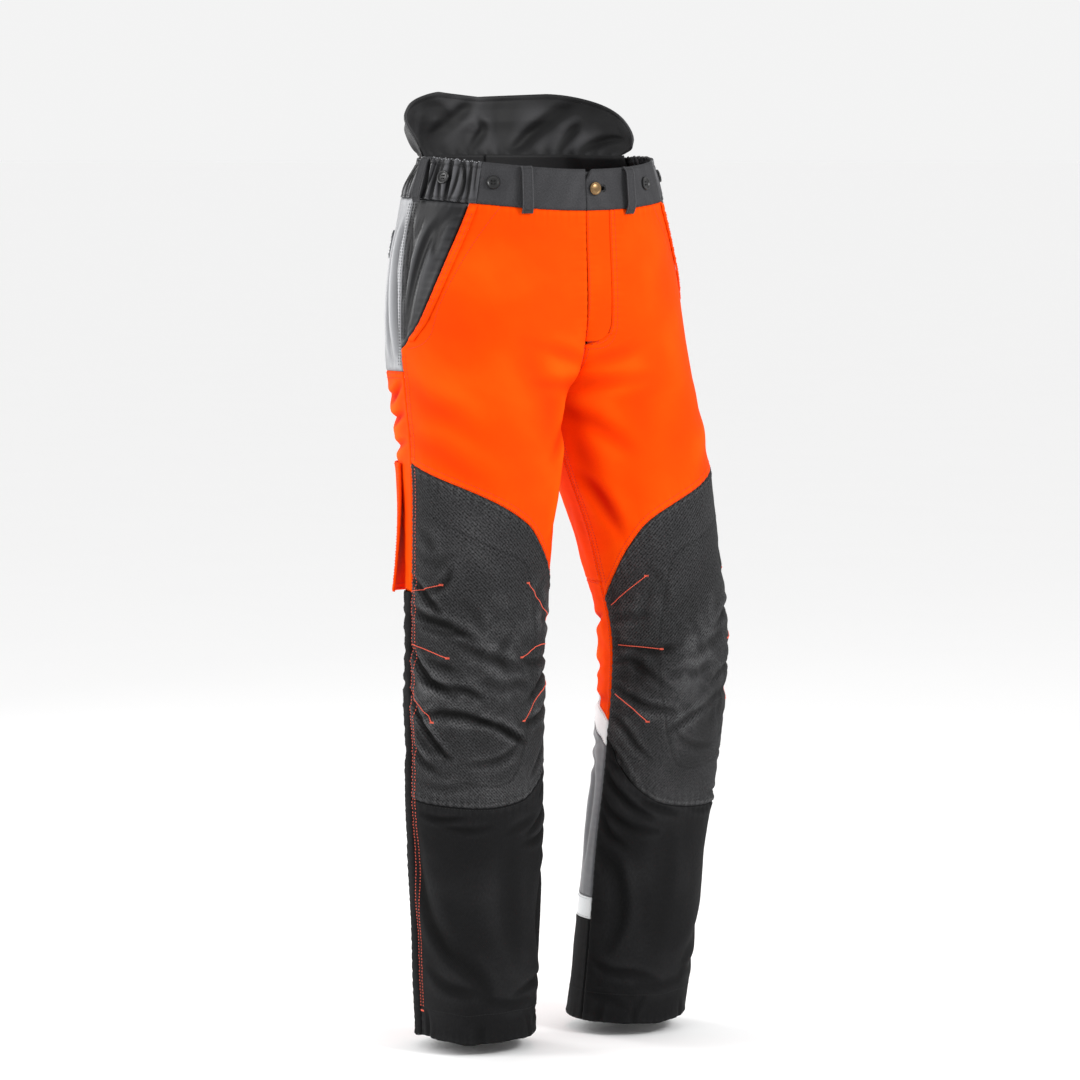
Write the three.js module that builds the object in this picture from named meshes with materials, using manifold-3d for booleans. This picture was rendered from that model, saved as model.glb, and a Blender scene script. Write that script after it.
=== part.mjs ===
// Protective forestry trousers with saw-protection pads, fly, pockets and a raised back flap.
// Millimetres, +Z up. The wearer faces -Y, the wearer's left is +X.
// The origin is the centre of the waist opening, level with the front of the waistband.
import * as THREE from 'three';
import { mergeVertices } from 'three/addons/utils/BufferGeometryUtils.js';
import manifoldModule from 'manifold-3d';

const kernel = await manifoldModule();
kernel.setup();

// ---------------------------------------------------------------- driving dimensions
const HEM_HEIGHT = -1085;
const BAND_HEIGHT = 51;         // waistband, top edge to seam
const BAND_RISE = 15;           // how much higher the band sits behind than in front
const SKIN = 1.8;               // outer fabric
const PAD_OUTER = 4.5;          // depth of the protective layers below the outer face
const PAD_INNER = 10.5;
const LINING_INNER = 7;
const SEAM_GAP = 0.3;           // each side of a seam
const CROTCH_CLEARANCE = 0.2;
const SEAT_BOTTOM = -250;
const THIGH_SPLIT = -518;       // seam between the back thigh and back knee panels
const PAD_BOTTOM = -540;
const ANKLE_BAND_TOP = -923;
const ANKLE_BAND_BOTTOM = -951;
const FLY_WIDTH = 34;
const FLY_BOTTOM = -214;
const FLY_CORNER = 26;
const ZIP_FACE_Y = -104;
const TACK = { x: 12, z: -24, radius: 8.2 };
const BUTTON_RADIUS = 8.5;
const LOOP_WIDTH = 14;
const FLAP_CORE = [0.3, 0.46];  // share of the right and left half-width before the rounded end begins

// Body section by height: height, outer x, inner x, middle x, front y, back y,
// side-seam y, front inner y, back inner y, leg twist in degrees.
const SECTIONS = [
  [-1085, 188, 39, 114, -119, 29, -45, -45, -45, 7],
  [-992, 198, 42, 120, -126, 16, -55, -55, -55, 7],
  [-864, 211, 44, 127, -134, -3, -68, -68, -68, 7],
  [-736, 224, 51, 137, -147, -15, -81, -81, -81, 7],
  [-608, 229, 54, 141, -160, -19, -90, -90, -90, 7],
  [-480, 219, 38, 129, -158, 9, -75, -75, -75, 6],
  [-350, 208, 10, 110, -152, 54, -50, -50, -50, 2],
  [-290, 202, 3, 103, -147, 84, -28, -38, -20, 1],
  [-262, 200, 0, 95, -143, 98, -18, -88, 40, 0],
  [-225, 198, 0, 84, -138, 110, -8, -116, 82, 0],
  [-160, 194, 0, 60, -132, 117, -3, -127, 106, 0],
  [-100, 188, 0, 36, -127, 117, 0, -125, 113, 0],
  [-50, 178, 0, 20, -124, 117, 0, -123, 116, 0],
  [18, 156, 0, 12, -120, 115, 0, -120, 115, 0],
];
const LEG_START = -350;         // below this the front and back meet along one inseam
const ROUNDNESS = 2.15;         // exponent of the section's rounded quarters
const ARC_STEPS = 24;

// ---------------------------------------------------------------- materials
function cloth(red, green, blue, roughness) {
  const color = new THREE.Color().setRGB(red / 255, green / 255, blue / 255, THREE.SRGBColorSpace);
  return () => new THREE.MeshStandardMaterial({ color, roughness, metalness: 0 });
}
const orangeCloth = cloth(253, 84, 18, 0.8);
const bandCloth = cloth(84, 84, 86, 0.85);
const elasticCloth = cloth(58, 58, 60, 0.9);
const flapCloth = cloth(53, 53, 55, 0.85);
const kneeCloth = cloth(60, 60, 62, 0.95);
const shinCloth = cloth(40, 40, 42, 0.85);
const seatCloth = cloth(133, 134, 137, 0.85);
const hipCloth = cloth(56, 57, 59, 0.85);
const calfCloth = cloth(127, 128, 131, 0.85);
const reflectiveTape = cloth(214, 217, 218, 0.35);
const padCloth = cloth(225, 222, 205, 0.95);
const liningCloth = cloth(70, 70, 74, 0.9);
const blackPlastic = cloth(24, 24, 26, 0.35);
const brass = () => new THREE.MeshStandardMaterial({ color: 0x735c44, roughness: 0.35, metalness: 0.9 });
const zipMetal = () => new THREE.MeshStandardMaterial({ color: 0x8c8a86, roughness: 0.4, metalness: 0.9 });

// ---------------------------------------------------------------- garment surface
function curveThrough(xs, ys) {
  const last = xs.length - 1;
  const slopes = [];
  for (let i = 0; i < last; i++) slopes.push((ys[i + 1] - ys[i]) / (xs[i + 1] - xs[i]));
  const tangents = [slopes[0]];
  for (let i = 1; i < last; i++) {
    const product = slopes[i - 1] * slopes[i];
    tangents.push(product > 0 ? 2 * product / (slopes[i - 1] + slopes[i]) : 0);
  }
  tangents.push(slopes[last - 1]);
  return (x) => {
    const at = Math.min(Math.max(x, xs[0]), xs[last]);
    let i = 0;
    while (i < last - 1 && at > xs[i + 1]) i++;
    const h = xs[i + 1] - xs[i];
    const t = (at - xs[i]) / h;
    const a = 2 * t ** 3 - 3 * t ** 2 + 1;
    const b = t ** 3 - 2 * t ** 2 + t;
    const c = t ** 3 - t ** 2;
    return a * ys[i] + b * h * tangents[i] + (1 - a) * ys[i + 1] + c * h * tangents[i + 1];
  };
}

const sectionHeights = SECTIONS.map((row) => row[0]);
const sectionCurves = [1, 2, 3, 4, 5, 6, 7, 8, 9].map(
  (column) => curveThrough(sectionHeights, SECTIONS.map((row) => row[column])));

function measured(points) {
  const lengths = [0];
  for (let i = 1; i < points.length; i++) {
    const step = Math.hypot(points[i][0] - points[i - 1][0], points[i][1] - points[i - 1][1]);
    lengths.push(lengths[i - 1] + step);
  }
  return { points, lengths, total: lengths[lengths.length - 1] };
}

// The half section at one height: front line (centre to side seam) and back line (side seam to centre).
const sectionCache = new Map();
function sectionAt(z) {
  const key = z.toFixed(3);
  if (sectionCache.has(key)) return sectionCache.get(key);
  const [xo, xi, xm, yf, yb, ym, y0, backInner, twist] = sectionCurves.map((curve) => curve(z));
  const y1 = z < LEG_START ? y0 : backInner;
  const centre = [(xo + xi) / 2, (yf + yb) / 2];
  const angle = THREE.MathUtils.degToRad(twist);
  const turned = (x, y) => {
    const dx = x - centre[0];
    const dy = y - centre[1];
    return [centre[0] + dx * Math.cos(angle) - dy * Math.sin(angle),
      centre[1] + dx * Math.sin(angle) + dy * Math.cos(angle)];
  };
  const quarters = [[], [], [], []];
  for (let i = 0; i <= ARC_STEPS; i++) {
    const t = (i / ARC_STEPS) * Math.PI / 2;
    const c = Math.abs(Math.cos(t)) ** (2 / ROUNDNESS);
    const s = Math.abs(Math.sin(t)) ** (2 / ROUNDNESS);
    quarters[0].push(turned(xm + (xi - xm) * c, y0 + (yf - y0) * s));
    quarters[1].push(turned(xm + (xo - xm) * s, ym + (yf - ym) * c));
    quarters[2].push(turned(xm + (xo - xm) * c, ym + (yb - ym) * s));
    quarters[3].push(turned(xm + (xi - xm) * s, y1 + (yb - y1) * c));
  }
  const section = {
    front: measured([...quarters[0], ...quarters[1].slice(1)]),
    back: measured([...quarters[2], ...quarters[3].slice(1)]),
  };
  sectionCache.set(key, section);
  return section;
}

function alongLine(line, fraction) {
  const target = Math.min(Math.max(fraction, 0), 1) * line.total;
  let i = 0;
  while (i < line.points.length - 2 && line.lengths[i + 1] < target) i++;
  const span = line.lengths[i + 1] - line.lengths[i];
  const f = span > 1e-9 ? (target - line.lengths[i]) / span : 0;
  const [ax, ay] = line.points[i];
  const [bx, by] = line.points[i + 1];
  return [ax + (bx - ax) * f, ay + (by - ay) * f];
}

// s runs 0 (front centre or inseam) - 1 (side seam) - 2 (back centre or inseam); side is -1 or 1.
function pointAt(s, z, side) {
  const section = sectionAt(z);
  const [x, y] = s <= 1 ? alongLine(section.front, s) : alongLine(section.back, s - 1);
  return new THREE.Vector3(side * x, y, z);
}

function normalAt(s, z, side) {
  const ds = 0.004;
  const dz = 1.5;
  const low = Math.max(s - ds, 0);
  const high = Math.min(s + ds, 2);
  const across = pointAt(high, z, side).sub(pointAt(low, z, side));
  const up = pointAt(s, z + dz, side).sub(pointAt(s, z - dz, side));
  return across.cross(up).multiplyScalar(side).normalize();
}

function offsetPoint(s, z, side, distance) {
  const point = pointAt(s, z, side).addScaledVector(normalAt(s, z, side), distance);
  if (z > -300 && point.x * side < CROTCH_CLEARANCE) point.x = side * CROTCH_CLEARANCE;
  return point;
}

function smooth(t) {
  const c = Math.min(Math.max(t, 0), 1);
  return c * c * (3 - 2 * c);
}

const mix = (a, b, t) => a + (b - a) * t;

// ---------------------------------------------------------------- seam lines
const bandTop = (s) => BAND_RISE * (1 - Math.cos(Math.PI * Math.min(s / 1.05, 1))) / 2;
const bandBottom = (s) => bandTop(s) - BAND_HEIGHT;
const pocketSlant = (z) => {
  const t = (-z - 45) / 175;
  return 0.64 + 0.187 * t + 0.115 * t * t + 0.033 * smooth((t - 0.8) / 0.2);
};
const colourSeams = {
  right: curveThrough([0, 0.1, 0.2, 0.31, 0.42, 0.7, 1], [-546, -516, -491, -462, -434, -392, -361]),
  left: curveThrough([0, 0.1, 0.2, 0.31, 0.42, 0.7, 1], [-538, -505, -470, -440, -422, -389, -361]),
};
const kneePanelBottoms = {
  right: curveThrough([0, 0.1, 0.24, 0.36, 0.55, 0.8, 1], [-705, -735, -762, -778, -784, -780, -775]),
  left: curveThrough([0, 0.1, 0.24, 0.36, 0.55, 0.8, 1], [-712, -752, -784, -799, -806, -808, -805]),
};
const kneeBandTop = (s) => -642 - 53 * Math.max(s - 1, 0) ** 4;
const kneeBandBottom = (s) => kneeBandTop(s) - 32;
const seatBottom = (s) => SEAT_BOTTOM - 12 * smooth(s - 1);
// Lines across the groin: below the lower one the leg moves as a whole.
function groinLine(s, shift) {
  let z = -380;
  for (let i = 0; i < 8; i++) z = mix(z, shift + 0.928 * pointAt(s, z, 1).x, 0.7);
  return z;
}
const thighPadTop = (s) => groinLine(s, -516);
const hipLiningBottom = (s) => groinLine(s, -273);

// ---------------------------------------------------------------- solid builders
function geometryFrom(positions, triangles) {
  const geometry = new THREE.BufferGeometry();
  geometry.setAttribute('position', new THREE.Float32BufferAttribute(positions, 3));
  geometry.setIndex(triangles);
  return geometry;
}

// One closed sheet between two grids: outerAt(u, v) is the outward face and innerAt(u, v) the inward face.
function closedSheet(outerAt, innerAt, columns, rows, flip) {
  const positions = [];
  const triangles = [];
  for (const face of [outerAt, innerAt]) {
    for (let j = 0; j <= rows; j++) {
      for (let i = 0; i <= columns; i++) positions.push(...face(i / columns, j / rows).toArray());
    }
  }
  const width = columns + 1;
  const inner = width * (rows + 1);
  const quad = (a, b, c, d) => {
    if (flip) triangles.push(a, c, b, a, d, c);
    else triangles.push(a, b, c, a, c, d);
  };
  for (let j = 0; j < rows; j++) {
    for (let i = 0; i < columns; i++) {
      const a = j * width + i;
      quad(a, a + width, a + width + 1, a + 1);
      quad(inner + a, inner + a + 1, inner + a + width + 1, inner + a + width);
    }
    const left = j * width;
    const right = left + columns;
    quad(left, inner + left, inner + left + width, left + width);
    quad(right, right + width, inner + right + width, inner + right);
  }
  for (let i = 0; i < columns; i++) {
    const bottom = rows * width + i;
    quad(i, i + 1, inner + i + 1, inner + i);
    quad(bottom, inner + bottom, inner + bottom + 1, bottom + 1);
  }
  return geometryFrom(positions, triangles);
}

// A panel of the garment: u runs from s0 to s1, v from the top line to the bottom line.
function panelGeometry({ side, s0, s1, top, bottom, outer = 0, inner = -SKIN, columns, rows }) {
  const value = (item, argument) => (typeof item === 'function' ? item(argument) : item);
  const place = (u, v) => {
    let z = mix(value(top, 0.5), value(bottom, 0.5), v);
    let s = 0.5;
    for (let i = 0; i < 6; i++) {
      const girth = sectionAt(z).front.total;
      const low = value(s0, z) + SEAM_GAP / girth;
      const high = value(s1, z) - SEAM_GAP / girth;
      s = mix(low, high, u);
      z = mix(value(top, s) - SEAM_GAP, value(bottom, s) + SEAM_GAP, v);
    }
    return [s, z];
  };
  const face = (offset) => (u, v) => {
    const [s, z] = place(u, v);
    return offsetPoint(s, z, side, typeof offset === 'function' ? offset(u, v) : offset);
  };
  return closedSheet(face(outer), face(inner), columns, rows, side < 0);
}

// A panel that crosses the centre back: u from -1 to 1 spans half-width `reach` each side.
function centreBackGeometry({ reach, top, bottom, outer, inner, columns, rows }) {
  const face = (offset) => (u, v) => {
    const across = mix(reach, -reach, u);
    const side = across >= 0 ? 1 : -1;
    const s = 2 - Math.abs(across);
    const z = mix(top(s) - SEAM_GAP, bottom(s) + SEAM_GAP, v);
    const point = pointAt(s, z, side).addScaledVector(normalAt(s, z, side), offset);
    if (Math.abs(across) < 1e-6) point.x = 0;
    return point;
  };
  return closedSheet(face(outer), face(inner), columns, rows, false);
}

function toManifold(geometry) {
  const bare = new THREE.BufferGeometry();
  bare.setAttribute('position', geometry.getAttribute('position').clone());
  if (geometry.index) bare.setIndex(geometry.index.clone());
  const welded = mergeVertices(bare, 1e-4);
  const mesh = new kernel.Mesh({
    numProp: 3,
    vertProperties: new Float32Array(welded.getAttribute('position').array),
    triVerts: new Uint32Array(welded.index.array),
  });
  mesh.merge();
  return new kernel.Manifold(mesh);
}

function fromManifold(solid) {
  const mesh = solid.getMesh();
  return geometryFrom(Array.from(mesh.vertProperties), Array.from(mesh.triVerts));
}

const cut = (body, tool) => fromManifold(toManifold(body).subtract(toManifold(tool)));
const keepInside = (body, tool) => fromManifold(toManifold(body).intersect(toManifold(tool)));

function prism(shape, depth, segments = 12) {
  return new THREE.ExtrudeGeometry(shape, { depth, bevelEnabled: false, curveSegments: segments });
}

function circlePoints(x, y, radius, count) {
  const points = [];
  for (let i = 0; i < count; i++) {
    const angle = (i / count) * Math.PI * 2;
    points.push(new THREE.Vector2(x + radius * Math.cos(angle), y + radius * Math.sin(angle)));
  }
  return points;
}

function turnedProfile(profile, segments = 28) {
  return new THREE.LatheGeometry(profile.map(([r, h]) => new THREE.Vector2(r, h)), segments);
}

// ---------------------------------------------------------------- scene helpers
const trousers = new THREE.Group();
trousers.name = 'forestry_trousers';

function addMesh(name, geometry, material, parent = trousers) {
  const mesh = new THREE.Mesh(geometry, material());
  mesh.name = name;
  parent.add(mesh);
  return mesh;
}

function addPanel(name, material, options) {
  return addMesh(name, panelGeometry(options), material);
}

// A frame on the garment: +Z of the frame points out, +Y up, +X across.
function frameOnSurface(s, z, side, standOff) {
  const origin = pointAt(s, z, side);
  const out = normalAt(s, z, side);
  if (s === 2) out.setX(0).normalize();
  const across = new THREE.Vector3(0, 0, 1).cross(out).normalize();
  const frame = new THREE.Group();
  frame.position.copy(origin.addScaledVector(out, standOff));
  frame.quaternion.setFromRotationMatrix(new THREE.Matrix4().makeBasis(
    across, out.clone().cross(across), out));
  trousers.add(frame);
  return frame;
}

const sides = [['right', -1], ['left', 1]];

// ---------------------------------------------------------------- waistband
function addWaistband() {
  const pleat = (u) => (Math.round(u * 40) % 2 ? 2.6 : 0.6);
  for (const [word, side] of sides) {
    let front = panelGeometry({ side, s0: 0, s1: 0.6, top: bandTop, bottom: bandBottom,
      outer: 1, inner: -2.4, columns: 8, rows: 1 });
    if (side > 0) front = cut(front, buttonholeTool());
    addMesh(`waistband_front_${word}`, front, bandCloth);
    addPanel(`waistband_elastic_${word}`, elasticCloth, { side, s0: 0.6, s1: 1.5, top: bandTop,
      bottom: bandBottom, outer: pleat, inner: -2.4, columns: 40, rows: 1 });
  }
  addPanel('waistband_underlap', bandCloth, { side: 1, s0: 0.004, s1: 0.17, top: (s) => bandTop(s) - 3,
    bottom: (s) => bandBottom(s) + 3, outer: -6, inner: -8, columns: 3, rows: 1 });
  addMesh('waistband_back', centreBackGeometry({ reach: 0.4984, top: bandTop, bottom: bandBottom,
    outer: 1, inner: -2.4, columns: 16, rows: 1 }), bandCloth);
}

function buttonholeTool() {
  const slot = new THREE.Shape();
  slot.absarc(TACK.x + 13, 0, 3, -Math.PI / 2, Math.PI / 2);
  slot.absarc(TACK.x, 0, 3, Math.PI / 2, Math.PI * 1.5);
  slot.closePath();
  return prism(slot, 60, 8).rotateX(Math.PI / 2).translate(0, -90, TACK.z);
}

function addBeltLoop(name, s, side, standOff) {
  const top = bandTop(s);
  const frame = frameOnSurface(s, top - 25, side, standOff);
  const outline = [[0, 24.5], [3, 24.5], [8, 18], [8, -26], [3, -33], [0, -33],
    [0, -28], [1.4, -27.6], [6.4, -23], [6.4, 15], [1.4, 20], [0, 20.5]];
  const strap = prism(new THREE.Shape(outline.map(([y, z]) => new THREE.Vector2(y, z))), LOOP_WIDTH);
  strap.translate(0, 0, -LOOP_WIDTH / 2).rotateY(-Math.PI / 2);
  addMesh(name, strap, bandCloth, frame);
}

function addBraceButton(name, s, side, standOff) {
  const frame = frameOnSurface(s, bandTop(s) - 24, side, standOff);
  const disc = new THREE.Shape(circlePoints(0, 0, BUTTON_RADIUS, 24));
  for (let i = 0; i < 4; i++) {
    const angle = Math.PI / 4 + i * Math.PI / 2;
    const hole = circlePoints(2.5 * Math.cos(angle), 2.5 * Math.sin(angle), 1.1, 8);
    disc.holes.push(new THREE.Path(hole.reverse()));
  }
  addMesh(name, prism(disc, 2.8), blackPlastic, frame);
}

function addTackButton() {
  const band = pointAt(0.05, TACK.z, 1).y - 1;
  const post = turnedProfile([[0, 0], [5, 0], [5, 1], [2.2, 1.3], [2.2, 10.3], [0, 10.3]], 20);
  post.rotateX(Math.PI).translate(0, band + 6.7, 0);
  const cap = turnedProfile([[2.6, 0], [6.6, 0], [TACK.radius, 1], [TACK.radius, 2], [7, 3.1],
    [5, 3.4], [0, 3.4], [0, 2.6], [2.6, 2.6], [2.6, 0]]);
  cap.rotateX(Math.PI).translate(0, band - 1.3, 0);
  const frame = new THREE.Group();
  frame.position.set(TACK.x, 0, TACK.z);
  trousers.add(frame);
  addMesh('tack_button_post', post, brass, frame);
  addMesh('tack_button_cap', cap, brass, frame);
}

// ---------------------------------------------------------------- front of the hips
// The J-shaped outline of the fly cover, grown or shrunk by `grow`.
function flyTool(grow) {
  const right = FLY_WIDTH + grow;
  const low = FLY_BOTTOM - grow;
  const outline = new THREE.Shape();
  outline.moveTo(-5, -30);
  outline.lineTo(right, -30);
  outline.lineTo(right, low + FLY_CORNER);
  outline.quadraticCurveTo(right, low, right - FLY_CORNER, low);
  outline.lineTo(-5, low);
  outline.closePath();
  return prism(outline, 80, 6).rotateX(Math.PI / 2).translate(0, -85, 0);
}

function addFrontPanels() {
  for (const [word, side] of sides) {
    let front = panelGeometry({ side, s0: 0, s1: (z) => (z < -224 ? 1 : pocketSlant(z)),
      top: bandBottom, bottom: colourSeams[word], columns: 10, rows: 14 });
    if (side > 0) {
      addMesh('fly_cover', keepInside(front, flyTool(-0.25)), orangeCloth);
      front = cut(front, flyTool(0.15));
    }
    addMesh(`front_upper_${word}`, front, orangeCloth);
    addPanel(`hip_side_panel_${word}`, hipCloth, { side, s0: (z) => pocketSlant(z) + 0.004, s1: 1,
      top: bandBottom, bottom: -216, columns: 4, rows: 7 });
    addPanel(`pocket_welt_${word}`, orangeCloth, { side, s0: (z) => pocketSlant(z) - 0.05,
      s1: (z) => pocketSlant(z) - 0.006, top: (s) => bandBottom(s) - 2, bottom: -212,
      outer: 3.4, inner: 1.9, columns: 1, rows: 7 });
    addPanel(`hip_lining_${word}`, liningCloth, { side, s0: 0.24, s1: 0.96,
      top: (s) => bandBottom(s) - 4, bottom: hipLiningBottom, outer: -PAD_OUTER,
      inner: -LINING_INNER, columns: 7, rows: 4 });
  }
}

function plate(width, thickness, top, bottom, frontY) {
  return new THREE.BoxGeometry(width, thickness, top - bottom)
    .translate(0, frontY + thickness / 2, (top + bottom) / 2);
}

function addZip() {
  addMesh('fly_shield', plate(44, 1.5, -40, -222, ZIP_FACE_Y + 2.2), liningCloth);
  addMesh('zip_chain', plate(8, 1.8, -60, -218, ZIP_FACE_Y), zipMetal);
  const body = new THREE.Shape([[-3, 0], [3, 0], [4.5, 7], [4.5, 12], [-4.5, 12], [-4.5, 7]]
    .map(([x, z]) => new THREE.Vector2(x, z)));
  const slider = prism(body, 3.2).rotateX(Math.PI / 2).translate(0, ZIP_FACE_Y - 0.4, -76);
  addMesh('zip_slider', slider, zipMetal);
  const tab = new THREE.Shape([[-3.6, -16], [-2.4, -20], [2.4, -20], [3.6, -16], [3, 0], [-3, 0]]
    .map(([x, z]) => new THREE.Vector2(x, z)));
  tab.holes.push(new THREE.Path(circlePoints(0, -15, 1.6, 10).reverse()));
  const puller = prism(tab, 1.4).rotateX(Math.PI / 2).translate(0, ZIP_FACE_Y - 4, -66);
  addMesh('zip_puller', puller, zipMetal);
}

// ---------------------------------------------------------------- seat and back flap
function addSeat() {
  for (const [word, side] of sides) {
    addPanel(`seat_${word}`, seatCloth, { side, s0: 1, s1: 2, top: bandBottom, bottom: seatBottom,
      columns: 10, rows: 8 });
    addPanel(`back_pocket_${word}`, seatCloth, { side, s0: 1.36, s1: 1.78, top: -86, bottom: -222,
      outer: 3.6, inner: 2, columns: 5, rows: 5 });
  }
  addPanel('back_pocket_flap_right', seatCloth, { side: -1, s0: 1.35, s1: 1.79, top: -78,
    bottom: -120, outer: 7.6, inner: 6, columns: 5, rows: 2 });
}

// The flap's middle surface: a runs -1 (right end) to 1 (left end), t runs 0 (base) to 1 (top edge).
function flapPoint(a, t) {
  const side = a >= 0 ? 1 : -1;
  const size = Math.min(Math.abs(a), 1);
  const core = FLAP_CORE[a >= 0 ? 1 : 0];
  const end = Math.max((size - core) / (1 - core), 0);
  const power = a >= 0 ? 1.8 : 1.35;
  const arch = (1 - end ** power) ** (1 / power);
  const tall = 76 + (a >= 0 ? 4 : 9) * Math.min(size / core, 1);
  const rise = mix(12, tall, arch) * t;
  const s = 2 - 0.9 * Math.abs(a) - 0.06 * end * Math.sin(Math.PI / 2 * t);
  const lean = mix(17, 15, (1 - a) / 2) * (1 - Math.exp(-rise / 26));
  const base = pointAt(s, 17, side);
  const out = Math.abs(a) < 1e-6 ? new THREE.Vector3(0, 1, 0) : normalAt(s, 10, side).setZ(0).normalize();
  return base.addScaledVector(out, lean - 1).setZ(17 + rise);
}

function flapFace(offset, aLow, aHigh, tLow, tHigh) {
  return (u, v) => {
    const a = mix(aHigh, aLow, u);
    const t = mix(tHigh, tLow, v);
    const da = 0.01;
    const dt = 0.01;
    const across = flapPoint(a + da, t).sub(flapPoint(a - da, t));
    const up = flapPoint(a, t + dt).sub(flapPoint(a, t - dt));
    return flapPoint(a, t).addScaledVector(up.cross(across).normalize(), offset);
  };
}

function addKidneyFlap() {
  addMesh('kidney_flap', closedSheet(flapFace(2, -1, 1, 0, 1), flapFace(-2, -1, 1, 0, 1), 22, 4, false),
    flapCloth);
  addMesh('kidney_pad', closedSheet(flapFace(-2.8, -0.6, 0.6, 0.3, 0.85),
    flapFace(-6.5, -0.6, 0.6, 0.3, 0.85), 12, 2, false), liningCloth);
}

// ---------------------------------------------------------------- legs
function addLeg(word, side) {
  const add = (name, material, options) => addPanel(`${name}_${word}`, material, { side, ...options });
  const front = { s0: 0, s1: 1, columns: 10 };
  const back = { s0: 1, s1: 2, columns: 10 };
  add('saw_pad_thigh', padCloth, { s0: 0.03, s1: 0.97, top: thighPadTop, bottom: PAD_BOTTOM,
    outer: -PAD_OUTER, inner: -PAD_INNER, columns: 10, rows: 5 });
  add('thigh_lining_back', liningCloth, { s0: 1.03, s1: 1.97, top: thighPadTop, bottom: PAD_BOTTOM,
    outer: -PAD_OUTER, inner: -LINING_INNER, columns: 10, rows: 5 });
  add('back_thigh_panel', orangeCloth, { ...back, top: seatBottom, bottom: THIGH_SPLIT, rows: 8 });
  add('knee_panel', kneeCloth, { ...front, top: colourSeams[word], bottom: kneePanelBottoms[word], rows: 10 });
  add('back_knee_panel', orangeCloth, { ...back, top: THIGH_SPLIT, bottom: kneeBandTop, rows: 5 });
  add('reflective_knee_band', reflectiveTape, { ...back, top: kneeBandTop, bottom: kneeBandBottom,
    rows: 1 });
  add('calf_panel', calfCloth, { ...back, top: kneeBandBottom, bottom: ANKLE_BAND_TOP, rows: 6 });
  add('calf_lining', liningCloth, { s0: 1.03, s1: 1.97, top: -745, bottom: -920,
    outer: -PAD_OUTER, inner: -LINING_INNER, columns: 10, rows: 3 });
  add('reflective_ankle_band', reflectiveTape, { ...back, top: ANKLE_BAND_TOP,
    bottom: ANKLE_BAND_BOTTOM, rows: 1 });
  add('ankle_back_panel', shinCloth, { ...back, top: ANKLE_BAND_BOTTOM, bottom: HEM_HEIGHT, rows: 3 });
  add('shin_panel', shinCloth, { ...front, top: kneePanelBottoms[word], bottom: HEM_HEIGHT, rows: 7 });
}

function addRulerPocket() {
  const flare = (near) => (u, v) => near + 8 * v * v;
  addPanel('ruler_pocket_right', orangeCloth, { side: -1, s0: 1.08, s1: 1.32, top: -362, bottom: -520,
    outer: flare(5.2), inner: flare(2.6), columns: 3, rows: 5 });
}

addWaistband();
addBeltLoop('belt_loop_front_right', 0.35, -1, 1.5);
addBeltLoop('belt_loop_front_left', 0.27, 1, 1.5);
addBeltLoop('belt_loop_side_right', 0.94, -1, 3.3);
addBeltLoop('belt_loop_side_left', 0.94, 1, 3.3);
addBeltLoop('belt_loop_back', 2, 1, 2.2);
for (const [word, side] of sides) {
  addBraceButton(`brace_button_front_${word}`, side < 0 ? 0.525 : 0.43, side, 1.5);
  addBraceButton(`brace_button_side_${word}`, 0.8, side, 3.3);
}
addTackButton();
addFrontPanels();
addZip();
addSeat();
addKidneyFlap();
for (const [word, side] of sides) addLeg(word, side);
addRulerPocket();

export default trousers;
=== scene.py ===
# Protective forestry trousers: fabric panels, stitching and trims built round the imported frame.
# Metres. The wearer faces -Y, the wearer's left is +X, +Z is up, and the waist opening is at z = 0.
import math

import bmesh
import bpy
import numpy as np
from mathutils import Matrix, Vector
from mathutils.bvhtree import BVHTree


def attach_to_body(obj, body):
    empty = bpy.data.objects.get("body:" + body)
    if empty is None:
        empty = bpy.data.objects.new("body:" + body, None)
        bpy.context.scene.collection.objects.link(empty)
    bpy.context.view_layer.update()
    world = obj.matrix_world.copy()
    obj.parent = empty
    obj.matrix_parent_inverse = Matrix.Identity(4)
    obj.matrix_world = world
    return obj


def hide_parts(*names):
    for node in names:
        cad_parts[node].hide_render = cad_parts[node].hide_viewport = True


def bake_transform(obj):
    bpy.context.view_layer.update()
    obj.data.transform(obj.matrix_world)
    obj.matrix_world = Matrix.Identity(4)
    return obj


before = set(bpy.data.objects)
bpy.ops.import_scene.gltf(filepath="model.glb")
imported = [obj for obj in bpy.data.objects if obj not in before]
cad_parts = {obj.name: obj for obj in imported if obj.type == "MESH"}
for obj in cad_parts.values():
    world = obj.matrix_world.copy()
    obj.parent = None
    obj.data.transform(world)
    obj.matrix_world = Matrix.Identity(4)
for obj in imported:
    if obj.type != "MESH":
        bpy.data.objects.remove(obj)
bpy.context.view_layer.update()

MM = 0.001
SIDES = (("right", -1), ("left", 1))
NOMINAL = 262.0          # millimetres of cloth in one unit of s

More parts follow.
